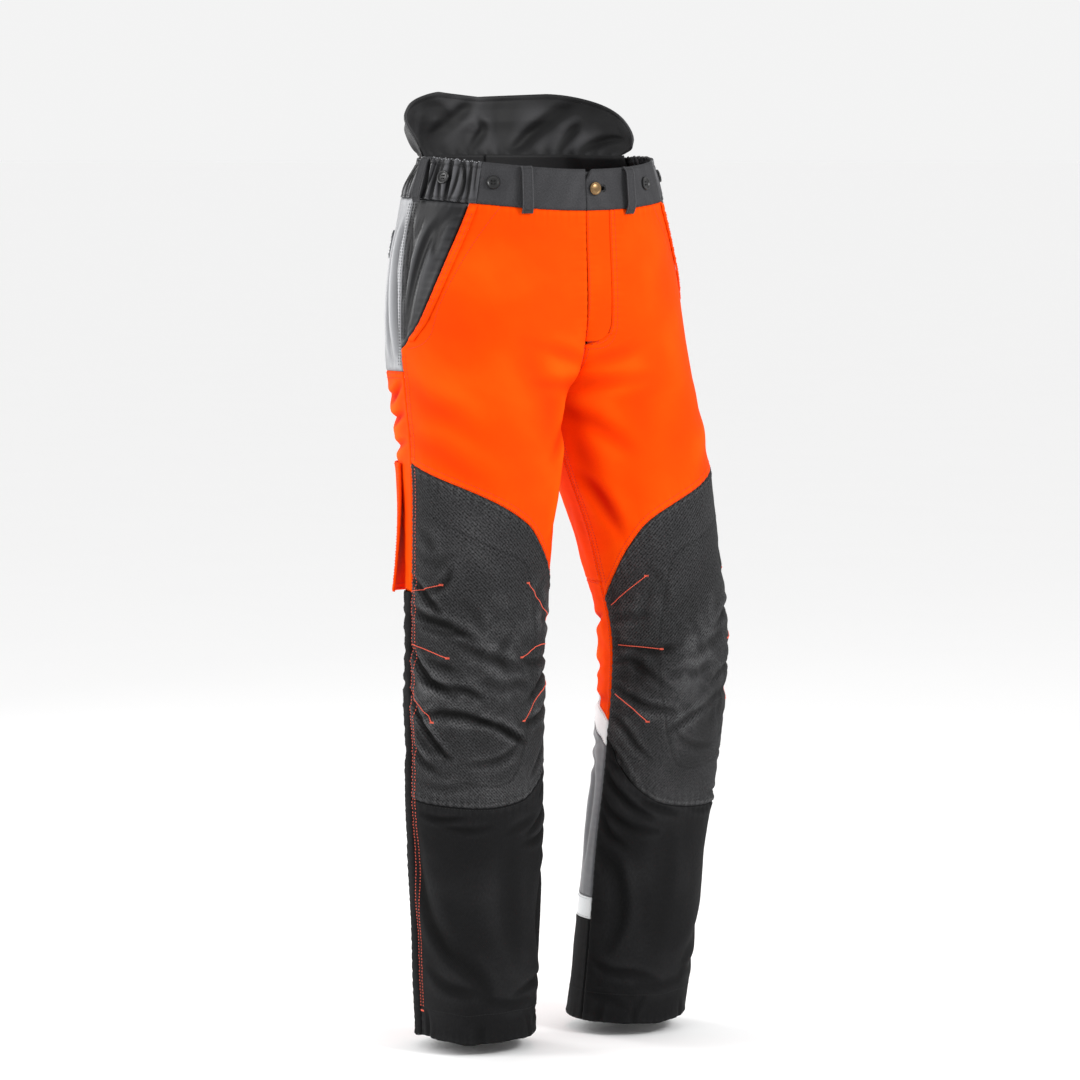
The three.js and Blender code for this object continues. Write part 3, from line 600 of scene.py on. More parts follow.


# low and high are painted shade and painted highlight copies of base, laid in creases and on raised cloth.
def fabric(name, low, base, high, pitch=1.3, angle=45, weave=0.16, speck=0.1, speck_size=2.2, mottle=0.06,
           roughness=0.85, sheen=0.0, bump=0.35, edge_wear=0.0, stretch=(1.0, 1.0), shine=0.2):
    n = Nodes(name)
    uv = n.add("UVMap", uv_map="UVMap").outputs["UV"]
    turned = n.add("Mapping", {"Vector": uv, "Rotation": (0, 0, math.radians(angle)),
                               "Scale": (1 / (pitch * MM), 1 / (pitch * MM), 1)}).outputs["Vector"]
    ribs = n.add("TexWave", {"Vector": turned, "Scale": 0.318, "Distortion": 0.6, "Detail": 1.0,
                             "Detail Scale": 1.5}, wave_type="BANDS").outputs["Fac"]
    cross = n.add("TexWave", {"Vector": turned, "Scale": 0.318, "Distortion": 0.4, "Detail": 1.0,
                              "Detail Scale": 1.5}, wave_type="BANDS", bands_direction="Y").outputs["Fac"]
    grain_at = n.add("Mapping", {"Vector": uv, "Rotation": (0, 0, math.radians(angle)),
                                 "Scale": (1000 / speck_size * stretch[0], 1000 / speck_size * stretch[1], 1)})
    grain = n.noise(grain_at.outputs["Vector"], 1.0, 2.0, 0.6)
    cloud = n.noise(uv, 14.0, 3.0, 0.55)
    fold_shade = n.add("Attribute", attribute_name="fold_shade").outputs["Fac"]
    edge = n.add("Attribute", attribute_name="edge").outputs["Fac"]
    # Painted highlight on raised cloth and painted shade in the creases, from the fold height.
    raised = n.maths("MAXIMUM", fold_shade, 0.0, True)
    sunk = n.maths("MULTIPLY", fold_shade, -1.0, True)
    tone = n.mix(raised, colour(*base), colour(*high))
    tone = n.mix(sunk, tone, colour(*low))
    shade = n.maths("ADD", n.maths("MULTIPLY", n.maths("SUBTRACT", ribs, 0.5), weave),
                    n.maths("MULTIPLY", n.maths("SUBTRACT", grain, 0.5), speck * 4))
    shade = n.maths("ADD", shade, n.maths("MULTIPLY", n.maths("SUBTRACT", cloud, 0.5), mottle * 3))
    fold_shade_and_wear = n.maths("MULTIPLY", n.maths("SUBTRACT", 0.12, edge), edge_wear * 8)
    shade = n.maths("ADD", shade, n.maths("MAXIMUM", fold_shade_and_wear, 0.0))
    factor = n.maths("ADD", shade, 1.0)
    grey = n.add("CombineColor", {"Red": factor, "Green": factor, "Blue": factor}).outputs["Color"]
    tone = n.mix(1.0, tone, grey, "MULTIPLY")
    height = n.maths("ADD", n.maths("MULTIPLY", ribs, 0.5), n.maths("MULTIPLY", cross, 0.3))
    height = n.maths("ADD", height, n.maths("MULTIPLY", grain, 0.7))
    relief = n.add("Bump", {"Height": height, "Strength": bump, "Distance": 0.0005}).outputs["Normal"]
    n.set(Base_Color=tone, Roughness=roughness, Sheen_Weight=sheen, Normal=relief)
    n.set(Sheen_Roughness=0.4)
    n.shader.inputs["Specular IOR Level"].default_value = shine
    return n.material


def hard(name, base, roughness, metallic=0.0, speck=0.06, scale=900.0, bump=0.15, dark=None):
    n = Nodes(name)
    at = n.add("TexCoord").outputs["Object"]
    grain = n.noise(at, scale, 3.0, 0.6)
    wear = n.noise(at, scale / 6, 3.0, 0.6)
    tone = n.mix(n.maths("MULTIPLY", wear, 1.0), colour(*(dark or [max(c - 22, 0) for c in base])), colour(*base))
    factor = n.maths("ADD", 1.0, n.maths("MULTIPLY", n.maths("SUBTRACT", grain, 0.5), speck * 4))
    grey = n.add("CombineColor", {"Red": factor, "Green": factor, "Blue": factor}).outputs["Color"]
    tone = n.mix(1.0, tone, grey, "MULTIPLY")
    relief = n.add("Bump", {"Height": grain, "Strength": bump, "Distance": 0.0002}).outputs["Normal"]
    n.set(Base_Color=tone, Normal=relief, Roughness=roughness, Metallic=metallic)
    return n.material


# In each fabric the first colour is painted shade for creases, the middle one is the cloth's own colour and the third
# is a painted highlight for raised cloth.
materials = {
    "orange_shell": fabric("orange_shell", (196, 30, 0), (242, 70, 0), (255, 108, 14), pitch=1.2, weave=0.03,
                           speck=0.03, mottle=0.045, roughness=0.8, bump=0.2, shine=0.05),
    "knee_fabric": fabric("knee_fabric", (18, 18, 18), (44, 44, 45), (82, 82, 83), pitch=3.0, weave=0.7,
                          speck=0.85, speck_size=2.4, mottle=0.12, roughness=0.95, bump=1.0, edge_wear=0.3),
    "shin_fabric": fabric("shin_fabric", (6, 6, 6), (17, 17, 18), (44, 44, 45), pitch=2.2, weave=0.2,
                          speck=0.35, speck_size=2.2, mottle=0.14, roughness=0.85, bump=0.6,
                          stretch=(1.0, 0.5), shine=0.16),
    "waistband": fabric("waistband", (34, 34, 35), (55, 55, 57), (84, 84, 86), pitch=1.6, weave=0.24,
                        speck=0.28, speck_size=2.0, mottle=0.05, roughness=0.85, bump=0.5),
    "elastic": fabric("elastic", (5, 5, 6), (20, 20, 22), (120, 120, 124), pitch=1.4, weave=0.06,
                      speck=0.05, roughness=0.42, sheen=0.02, bump=0.2, shine=0.22),
    "hip_panel": fabric("hip_panel", (8, 8, 9), (22, 22, 24), (98, 99, 102), pitch=1.4, weave=0.06,
                        speck=0.04, mottle=0.2, roughness=0.42, sheen=0.02, bump=0.15, shine=0.22),
    "seat_grey": fabric("seat_grey", (66, 67, 69), (128, 129, 132), (188, 189, 192), pitch=1.4, weave=0.06,
                        speck=0.04, mottle=0.1, roughness=0.4, sheen=0.05, bump=0.18, shine=0.3),
    "calf_grey": fabric("calf_grey", (50, 51, 53), (94, 95, 98), (156, 157, 160), pitch=1.4, weave=0.06,
                        speck=0.04, mottle=0.12, roughness=0.4, sheen=0.05, bump=0.18, shine=0.3),
    "flap_fabric": fabric("flap_fabric", (10, 10, 11), (30, 30, 31), (74, 74, 76), pitch=1.6, weave=0.1,
                          speck=0.1, mottle=0.14, roughness=0.55, bump=0.25),
    "reflective_tape": fabric("reflective_tape", (190, 194, 196), (222, 225, 226), (238, 240, 240), pitch=1.1,
                              weave=0.08, speck=0.04, roughness=0.32, sheen=0.0, bump=0.25),
    "saw_pad": fabric("saw_pad", (196, 192, 172), (226, 222, 204), (240, 238, 226), pitch=1.6, weave=0.12,
                      speck=0.14, speck_size=1.4, roughness=0.95, sheen=0.4, bump=0.6),
    "lining": fabric("lining", (48, 48, 52), (70, 70, 74), (92, 92, 97), pitch=2.2, weave=0.2, speck=0.08,
                     roughness=0.85, sheen=0.2, bump=0.5),
    "button_plastic": hard("button_plastic", (14, 14, 15), 0.32, 0.0, 0.05, 700.0, 0.1, (7, 7, 8)),
    "tack_brass": hard("tack_brass", (150, 122, 86), 0.34, 0.9, 0.08, 900.0, 0.12, (92, 70, 46)),
    "zip_metal": hard("zip_metal", (150, 147, 140), 0.38, 0.9, 0.08, 900.0, 0.12, (96, 94, 90)),
    "thread_red": hard("thread_red", (244, 106, 80), 0.8, 0.0, 0.1, 2500.0, 0.4, (226, 84, 58)),
    "thread_orange": hard("thread_orange", (214, 50, 2), 0.75, 0.0, 0.08, 2500.0, 0.4, (176, 36, 0)),
    "thread_dark": hard("thread_dark", (14, 14, 15), 0.8, 0.0, 0.1, 2500.0, 0.4, (6, 6, 7)),
    "thread_grey": hard("thread_grey", (58, 58, 60), 0.8, 0.0, 0.1, 2500.0, 0.4, (40, 40, 41)),
    "thread_light": hard("thread_light", (176, 177, 180), 0.8, 0.0, 0.1, 2500.0, 0.4, (140, 141, 144)),
}


# ------------------------------------------------------------------ stitching
trees = {}


def tree_of(obj):
    if obj.name not in trees:
        mesh = obj.data
        trees[obj.name] = BVHTree.FromPolygons([v.co[:] for v in mesh.vertices],
                                               [p.vertices[:] for p in mesh.polygons])
    return trees[obj.name]


def drop_on(cloth, points, normals, reach=16 * MM):
    """Each point moved along its normal on to the outermost of these cloth objects."""
    out = points.copy()
    for k, (p, d) in enumerate(zip(points, normals)):
        start = Vector(p + d * reach)
        best = None
        for obj in cloth:
            hit = tree_of(obj).ray_cast(start, -Vector(d), reach * 2.4)
            if hit[0] is not None and (best is None or hit[3] < best[1]):
                best = (hit[0], hit[3])
        if best is not None:
            out[k] = best[0]
    return out


def cut_points(start, stop, count=40):
    t = np.linspace(0, 1, count)[:, None]
    return np.array(start) * (1 - t) + np.array(stop) * t


def sideways(base, normal):
    """Unit steps across a path, in the plane of the cloth."""
    across = np.cross(normal, np.gradient(base, axis=0))
    return across / np.linalg.norm(across, axis=1, keepdims=True)


class Thread:
    """Stitches of one colour that go with one piece of cloth, gathered into one mesh."""
    def __init__(self, name, material, flow=None, body=None):
        self.name, self.material, self.flow, self.body = name, material, flow, body
        self.verts, self.faces, self.count = [], [], 0

    def row(self, side, path, cloth, pitch=3.7, length=2.9, radius=0.42, shift=0.0):
        """A row along (s, z) points; shift moves it sideways on the cloth, in millimetres."""
        base, normal = surface.at(path[:, 0], path[:, 1], side, 0.0)
        if shift:
            base = base + sideways(base, normal) * shift * MM * side
        self.line(base, normal, cloth, pitch, length, radius)

    def line(self, base, normal, cloth, pitch=3.7, length=2.9, radius=0.42):
        run = np.concatenate([[0], np.cumsum(np.linalg.norm(np.diff(base, axis=0), axis=1))]) / MM
        if run[-1] < pitch:
            return
        count = int(run[-1] / pitch)
        centres = (np.arange(count) + 0.5) * run[-1] / count
        samples = np.stack([centres - length / 2, centres - length / 4, centres,
                            centres + length / 4, centres + length / 2], axis=1).ravel()
        p = np.stack([np.interp(samples, run, base[:, k]) for k in range(3)], axis=1)
        n = np.stack([np.interp(samples, run, normal[:, k]) for k in range(3)], axis=1)
        n /= np.linalg.norm(n, axis=1, keepdims=True)
        if cloth:
            p = drop_on(cloth, p, n)
        self.loops(p.reshape(-1, 5, 3), n.reshape(-1, 5, 3), radius)

    def loops(self, p, n, radius):
        lift = np.array([-0.9, 0.2, 0.5, 0.2, -0.9])[None, :, None] * radius * MM
        thick = np.array([0.45, 0.95, 1.0, 0.95, 0.45])[None, :, None, None] * radius * MM
        way = np.gradient(p, axis=1)
        way /= np.linalg.norm(way, axis=2, keepdims=True) + 1e-12
        across = np.cross(n, way)
        across /= np.linalg.norm(across, axis=2, keepdims=True) + 1e-12
        up = np.cross(way, across)
        angle = np.arange(5) / 5 * 2 * math.pi
        ring = (across[:, :, None] * np.cos(angle)[None, None, :, None]
                + up[:, :, None] * np.sin(angle)[None, None, :, None])
        verts = (p + n * lift)[:, :, None] + ring * thick
        for stitch in verts:
            self.verts.append(stitch.reshape(-1, 3))
            at = self.count
            for r in range(4):
                for c in range(5):
                    d = (c + 1) % 5
                    self.faces.append([at + r * 5 + c, at + r * 5 + d, at + r * 5 + 5 + d, at + r * 5 + 5 + c])
            self.count += 25
            self.faces.append([at + 4, at + 3, at + 2, at + 1, at])
            self.faces.append([at + 20, at + 21, at + 22, at + 23, at + 24])

    def bar(self, side, start, stop, cloth, turns=9, width=1.5, radius=0.5):
        """A bartack: many close stitches across a short line."""
        path = cut_points(start, stop, 24)
        base, normal = surface.at(path[:, 0], path[:, 1], side, 0.0)
        across = sideways(base, normal)
        for k in np.linspace(0, len(base) - 1.001, turns):
            i = int(k)
            span = np.linspace(-width, width, 5)[:, None] * MM
            p = base[i] + across[i] * span + (base[i + 1] - base[i]) * (k - i)
            n = np.repeat(normal[i][None], 5, axis=0)
            if cloth:
                p = drop_on(cloth, p, n)
            self.loops(p[None], n[None], radius)

    def finish(self):
        obj = mesh_object(self.name, np.concatenate(self.verts).tolist(), self.faces)
        obj.data.polygons.foreach_set("use_smooth", np.ones(len(self.faces), bool))
        obj.data.materials.append(materials[self.material])
        if self.flow:
            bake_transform(obj)
        else:
            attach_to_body(obj, self.body)


threads = {}


def thread(name, material, flow=None, body=None):
    key = name + "_" + material
    if key not in threads:
        threads[key] = Thread(key, material, flow, body)
    return threads[key]


def along_s(height, s0, s1, shift=0.0, step=0.01):
    """Points from s0 to s1 at a height, which is a number or a function of s."""
    s = np.arange(s0, s1 + step / 2, step)
    return np.stack([s, call(height, s) + shift], axis=1)


def along_z(side_line, z0, z1, shift_mm=0.0, step=3.0):
    z = np.arange(z0, z1, -step)
    s = call(side_line, z) + shift_mm / surface.girth(z)
    return np.stack([s, z], axis=1)


# ------------------------------------------------------------------ sheets
def lay_flat(obj, rows, columns):
    """The cloth's flat width, height and area, measured along its folded rows and columns."""
    co = np.array([v.co for v in obj.data.vertices]).reshape(2, rows, columns, 3).mean(0)
    wide = np.linalg.norm(np.diff(co, axis=1), axis=2).sum(1).max()
    tall = np.linalg.norm(np.diff(co, axis=0), axis=2).sum(0).max()
    a, b = co[1:, :-1] - co[:-1, :-1], co[:-1, 1:] - co[:-1, :-1]
    c, d = co[1:, :-1] - co[1:, 1:], co[:-1, 1:] - co[1:, 1:]
    area = 0.5 * (np.linalg.norm(np.cross(a, b), axis=2).sum() + np.linalg.norm(np.cross(c, d), axis=2).sum())
    return float(wide), float(tall), float(min(max(area, 0.31 * wide * tall), wide * tall))


sheets, pads = [], []


def soft_piece(obj, shape, held="hung"):
    sheets.append((obj, lay_flat(obj, *shape), held))


def panel(name, side, s0, s1, top, bottom, slot, body="pelvis", held="hung", padded=False, solid=True, **make):
    """A cloth panel, collected among the sheets or the pads, that stands for the solid of its name if there is one.
    """
    obj, shape = cloth_panel(name, side, s0, s1, top, bottom, body, slot, **make)
    if padded:
        pads.append(obj)
    else:
        soft_piece(obj, shape, held)
    if solid:
        stands_for(obj, name)
    return obj


# ------------------------------------------------------------------ fly outline
FLY_WIDTH, FLY_BOTTOM, FLY_CORNER = 34.0, -214.0, 26.0


def fly_edge(grow):
    """s of the fly's J-shaped outline at each height on the left front."""
    def at(z):
        z = np.asarray(z, float)
        t = 1 - np.sqrt(np.clip((z - FLY_BOTTOM + grow) / FLY_CORNER, 0, 1))
        x = FLY_WIDTH + grow - FLY_CORNER * t ** 2
        below = smooth((FLY_BOTTOM - grow - z) / 3.0)
        return x * (1 - below) / surface.girth(z) * 1.005
    return at


STRIP = 1.1              # s of the back edge of the dark strip behind the side seam
KNEE_SEAM = -518
ANKLE_TOP, ANKLE_BOTTOM = -923, -951
INSIDE = dict(lift=-4.8, step=7.0, seams=(0, 0, 0, 0))


# ------------------------------------------------------------------ legs
def build_leg(word, side):
    hip, knee = hip_flow(side), knee_flow(side)
    shin = "shin_" + word
    right = side < 0
    colour_seam, knee_bottom = colour_seams[word], knee_bottoms[word]

    def slant_or_side(z):
        return pocket_slant(z) + (1 - pocket_slant(z)) * smooth((-216.5 - np.asarray(z)) / 7)

    front = panel(f"front_upper_{word}", side, 0 if right else fly_edge(0.3), slant_or_side, band_bottom,
                  colour_seam, "orange_shell", flow=hip)
    knee_front = panel(f"knee_panel_{word}", side, 0, 1, colour_seam, knee_bottom, "knee_fabric", flow=knee,
                       step=2.1)
    shin_front = panel(f"shin_panel_{word}", side, 0, 1, knee_bottom, hem_line(side), "shin_fabric", body=shin)
    thigh_back = panel(f"back_thigh_panel_{word}", side, 1, 2, seat_bottom, KNEE_SEAM, "orange_shell", flow=hip,
                       step=3.2)
    knee_back = panel(f"back_knee_panel_{word}", side, STRIP, 2, KNEE_SEAM, knee_band_top, "orange_shell", flow=knee,
                      step=3.2)
    band = panel(f"reflective_knee_band_{word}", side, STRIP, 2, knee_band_top, knee_band_bottom,
                 "reflective_tape", flow=knee, lift=0.4)
    calf = panel(f"calf_panel_{word}", side, STRIP, 2, knee_band_bottom, ANKLE_TOP, "calf_grey",
                 flow=knee, step=3.4)
    ankle_band = panel(f"reflective_ankle_band_{word}", side, STRIP, 2, ANKLE_TOP, ANKLE_BOTTOM, "reflective_tape",
                       body=shin,
                       lift=0.4)
    ankle = panel(f"ankle_back_panel_{word}", side, STRIP, 2, ANKLE_BOTTOM, hem_line(side), "shin_fabric", body=shin,
                  step=3.2)
    strip = panel(f"side_strip_{word}", side, 1, STRIP, KNEE_SEAM, hem_line(side), "shin_fabric", flow=knee,
                  solid=False, step=2.6,
                  extra_lift=lambda s, z: 4.5 * np.sin(np.clip((s - 1) / (STRIP - 1), 0, 1) * np.pi))
    panel(f"saw_pad_thigh_{word}", side, 0.03, 0.97, thigh_pad_top, -540, "saw_pad", body="thigh_" + word,
          padded=True, thick=5.4, **INSIDE)
    panel(f"thigh_lining_back_{word}", side, 1.03, 1.97, thigh_pad_top, -540, "lining", body="thigh_" + word,
          thick=1.6, **INSIDE)
    panel(f"calf_lining_{word}", side, 1.03, 1.97, -745, -920, "lining", body=shin, thick=1.6, **INSIDE)

    # knee patch and darts
    t = thread(f"stitches_knee_{word}", "thread_dark", flow=knee)
    patch = spline(PATCH, 12)
    for shift in (0.0, 5.5):
        t.row(side, patch, [knee_front], shift=shift, radius=0.44)
    for shift in (-2.2, -7.5):
        t.row(side, along_s(colour_seam, 0.02, 0.98, shift), [knee_front], radius=0.34)
        t.row(side, along_s(knee_bottom, 0.02, 0.98, -shift - 0.4), [knee_front], radius=0.34)
    darts = thread(f"darts_knee_{word}", "thread_red", flow=knee)
    for path in DARTS_RIGHT if right else DARTS_LEFT:
        darts.row(side, spline(path, 14), [knee_front], pitch=2.3, length=2.6, radius=0.62)
        end = np.array(path[-1])
        darts.bar(side, end - (0.008, 0), end + (0.008, 0), [knee_front], 4, 1.6)

    # orange seams
    o = thread(f"stitches_front_{word}", "thread_orange", flow=hip)
    for shift in (2.2, 8.0):
        o.row(side, along_s(colour_seam, 0.02, 0.98, shift), [front])
    o.row(side, along_z(0, -222, -520, 3.0), [front])
    o.row(side, along_z(0, -222, -520, 8.5), [front])
    b = thread(f"stitches_back_{word}", "thread_orange", flow=hip)
    for shift in (-2.5, -8.5):
        b.row(side, along_s(seat_bottom, 1.02, 1.98, shift), [thigh_back])
    b.row(side, along_z(2, -262, -514, -3.0), [thigh_back])
    k = thread(f"stitches_back_knee_{word}", "thread_orange", flow=knee)
    k.row(side, along_s(level(KNEE_SEAM), STRIP + 0.02, 1.98, -2.5), [knee_back])
    k.row(side, along_s(knee_band_top, STRIP + 0.02, 1.98, 2.5), [knee_back])
    k.row(side, along_z(2, -522, -688, -3.0), [knee_back])

    # side seam: a dotted row on each side of it, ending in a bartack above the hem
    upper = thread(f"side_seam_thigh_{word}", "thread_red", flow=hip)
    lower = thread(f"side_seam_knee_{word}", "thread_red", flow=knee)
    last = thread(f"side_seam_shin_{word}", "thread_red", body=shin)
    for shift in (-2.8, -8.6):
        near = [front, knee_front]
        upper.row(side, along_z(1.0, -362, -516, shift), near, pitch=4.0, length=2.7, radius=0.6)
        near = [knee_front, shin_front]
        lower.row(side, along_z(1.0, -516, -790, shift), near, pitch=4.0, length=2.7, radius=0.6)
        last.row(side, along_z(1.0, -790, -1044, shift), near, pitch=4.0, length=2.7, radius=0.6)
        o.row(side, along_z(1.0, -230, -362, shift), [front, thigh_back])
    last.bar(side, (0.962, -1047), (0.992, -1047), [shin_front, strip], 10, 1.5)
    dark_strip = thread(f"stitches_strip_{word}", "thread_dark", flow=knee)
    dark_strip.row(side, along_z(STRIP, -522, -1080, -2.4), [strip], radius=0.36)
    grey = thread(f"stitches_calf_{word}", "thread_grey", flow=knee)
    grey.row(side, along_s(knee_band_bottom, STRIP + 0.02, 1.98, -2.2), [calf])
    grey.row(side, along_s(level(ANKLE_TOP), STRIP + 0.02, 1.98, 2.2), [calf])
    dark = thread(f"stitches_shin_{word}", "thread_dark", body=shin)
    dark.row(side, along_s(knee_bottom, 0.02, 0.98, -2.2), [shin_front], radius=0.36)
    dark.row(side, along_s(hem_line(side), 0.01, 0.99, 38), [shin_front], radius=0.4)
    dark.row(side, along_s(hem_line(side), 1.01, 1.99, 38), [ankle, strip], radius=0.4)
    dark.row(side, along_s(level(ANKLE_BOTTOM), STRIP + 0.02, 1.98, -2.2), [ankle], radius=0.36)
    dark.row(side, along_z(0, -735, -1044, 3.0), [shin_front], radius=0.36)
    dark.row(side, along_z(2, -955, -1044, -3.0), [ankle], radius=0.36)
    light = thread(f"stitches_bands_{word}", "thread_light", flow=knee)
    for shift in (-2.4, -29.6):
        light.row(side, along_s(knee_band_top, STRIP + 0.015, 1.985, shift), [band], radius=0.34)
    low = thread(f"stitches_ankle_band_{word}", "thread_light", body=shin)
    for z in (-925.4, -948.6):
        low.row(side, along_s(level(z), STRIP + 0.015, 1.985), [ankle_band], radius=0.34)
    return front


def hem_line(side):
    phase = 0.4 if side < 0 else 2.1

    def at(s):
        s = np.asarray(s, float)
        wave = 2.2 * np.sin(s * 7.2 + phase) + 1.1 * np.sin(s * 15.0 + phase * 2) + 0.7 * np.sin(s * 34 + phase)
        return HEM + 2.5 + wave * np.sin(np.pi * np.clip(s, 0, 2) / 2)
    return at


def groin_line(shift):
    def at(s):
        s = np.asarray(s, float)
        z = np.full(s.shape, -380.0)
        for _ in range(8):
            point, _ = surface.at(s, z, 1, 0.0)
            z = z * 0.3 + 0.7 * (shift + 0.928 * point[..., 0] / MM)
        return z
    return at


thigh_pad_top = groin_line(-516)
hip_lining_bottom = groin_line(-273)


DARTS_OUTER = [[(0.992, -517), (0.90, -512), (0.81, -506)], [(0.985, -581), (0.88, -586), (0.765, -595)],
               [(0.992, -641), (0.92, -655), (0.84, -675)]]
DARTS_RIGHT = DARTS_OUTER + [[(0.12, -558), (0.275, -530), (0.375, -506)],
                             [(0.06, -588), (0.24, -585), (0.37, -597)],
                             [(0.06, -628), (0.255, -649), (0.345, -677)]]
DARTS_LEFT = DARTS_OUTER + [[(0.035, -547), (0.15, -526), (0.25, -508)],
                            [(0.04, -597), (0.16, -598), (0.28, -601)],
                            [(0.035, -659), (0.13, -674), (0.225, -693)]]


# ------------------------------------------------------------------ waistband
GATHERS = [(0.615, 1.2, 7), (0.655, 2.4, 8), (0.70, 3.2, 9), (0.735, 2.2, 7), (0.775, 3.4, 9), (0.82, 2.6, 8),
           (0.862, 3.4, 10), (0.90, 2.4, 7), (0.94, 3.0, 9), (0.985, 2.2, 8), (1.03, 2.8, 9), (1.075, 2.0, 7),
           (1.12, 2.8, 9), (1.16, 2.2, 8), (1.205, 3.0, 9), (1.25, 2.0, 7), (1.295, 2.8, 9), (1.34, 2.2, 8),
           (1.385, 2.6, 8), (1.43, 1.8, 7), (1.47, 1.2, 6)]


def gathers(side):
    rng = np.random.default_rng(21 if side < 0 else 34)
    tilt = rng.uniform(-7, 7, len(GATHERS))
    bow = rng.uniform(-4, 4, len(GATHERS))
    pull = rng.uniform(1.0, 1.9, len(GATHERS))

    def at(s, z):
        t = (z - band_bottom(s)) / BAND_HEIGHT
        u = s * 235
        out = np.zeros(s.shape)
        for (centre, depth, width), lean, curve, more in zip(GATHERS, tilt, bow, pull):
            middle = centre * 235 + lean * (t - 0.5) + curve * np.sin(np.pi * t)
            q = (u - middle) / (width * 0.42)
            out -= depth * more * (1 - 0.9 * q * q) * np.exp(-q * q * 0.9)
        frill = 1.1 * np.sin(u * 1.15) * smooth((t - 0.86) / 0.14)
        casing = -0.8 * np.exp(-((t - 0.86) / 0.03) ** 2) - 0.8 * np.exp(-((t - 0.07) / 0.04) ** 2)
        ends = smooth((s - 0.6) / 0.03) * smooth((1.5 - s) / 0.03)
        swell = 0.35 + 0.65 * np.sin(np.pi * np.clip(t, 0, 1))
        return out * ends * swell + frill * ends + casing + 1.4 - drawn_in(s, t)
    return at


PINCH = 8.0              # how far the elastic is drawn in at its top edge behind the side seams


def pinched(s):
    return smooth((s - 1.0) / 0.14) * smooth((1.5 - s) / 0.14)


def drawn_in(s, t):
    """Millimetres the elastic lies inside the body surface; t is 0 at its bottom edge and 1 at its top."""
    return PINCH * pinched(s) * smooth((t - 0.15) / 0.85)


def frill_top():
    def at(s):
        s = np.asarray(s, float)
        ends = smooth((s - 0.6) / 0.03) * smooth((1.12 - s) / 0.03)
        return band_top(s) + ends * (0.9 * np.sin(s * 235 * 0.62) + 0.5 * np.sin(s * 235 * 1.3 + 1.0))
    return at


def band_relief(s, z):
    t = (z - band_bottom(s)) / BAND_HEIGHT
    piping = -0.5 * np.exp(-((t - 0.94) / 0.02) ** 2) - 0.5 * np.exp(-((t - 0.06) / 0.02) ** 2)
    return piping + 0.45 * np.sin(s * 21.0) * np.sin(np.pi * t) + 0.25 * np.sin(s * 55 + z / 9)


def chamfered_top(s):
    return band_top(s) - 15 * np.clip(1 - np.asarray(s, float) / 0.042, 0, 1)


def build_waist():
    for word, side in SIDES:
        top = chamfered_top if side > 0 else band_top
        band = panel(f"waistband_front_{word}", side, 0, 0.6, top, band_bottom, "waistband", fold=0, lift=1.0,
                     thick=3.2, step=2.2, extra_lift=band_relief, seams=(0.4, 0.3, 0.4, 0.4), held="stretched")
        if side > 0:
            cut_buttonhole(band)
        elastic = panel(f"waistband_elastic_{word}", side, 0.6, 1.5, frill_top(), band_bottom, "elastic",
                        fold=0, thick=2.6, step=1.7, extra_lift=gathers(side), seams=(0.2, 0.2, 0.2, 0.3),
                        held="gathered")
        t = thread(f"stitches_waist_{word}", "thread_grey", body="pelvis")
        t.row(side, along_s(top, 0.012, 0.595, -2.2), [band], pitch=3.0, length=2.3, radius=0.36)
        t.row(side, along_s(band_bottom, 0.012, 0.595, 2.0), [band], pitch=3.0, length=2.3, radius=0.36)
        light = thread(f"stitches_elastic_{word}", "thread_light", body="pelvis")
        light.row(side, along_s(frill_top(), 0.61, 1.49, -1.2, 0.004), [elastic], pitch=3.2, length=2.2,
                  radius=0.42)
        t.row(side, along_s(band_top, 0.61, 1.49, -7.0, 0.004), [elastic], pitch=3.0, length=2.3, radius=0.4)
        t.row(side, along_s(band_bottom, 0.61, 1.49, 3.0, 0.004), [elastic], pitch=3.0, length=2.3, radius=0.4)
    panel("waistband_underlap", 1, 0.004, 0.17, lambda s: band_top(s) - 3, lambda s: band_bottom(s) + 3,
          "waistband", fold=0, lift=-6.0, thick=1.9, held="stretched")
    back = waistband_back()
    for word, side in SIDES:
        panel(f"back_facing_{word}", side, 1.06, 1.999, lambda s: band_top(s) + 2.8, lambda s: band_bottom(s) + 1,
              "flap_fabric", fold=0, lift=-3.6, thick=1.1, step=4, seams=(0, 0, 0, 0), held="stretched",
              solid=False, extra_lift=lambda s, z: -drawn_in(s, (z - band_bottom(s)) / BAND_HEIGHT))
    t = thread("stitches_waist_back", "thread_grey", body="pelvis")
    for side in (-1, 1):
        for line, shift in ((band_top, -2.2), (band_bottom, 2.0)):
            t.row(side, along_s(line, 1.51, 1.997, shift), [back], pitch=3.0, length=2.3, radius=0.36)


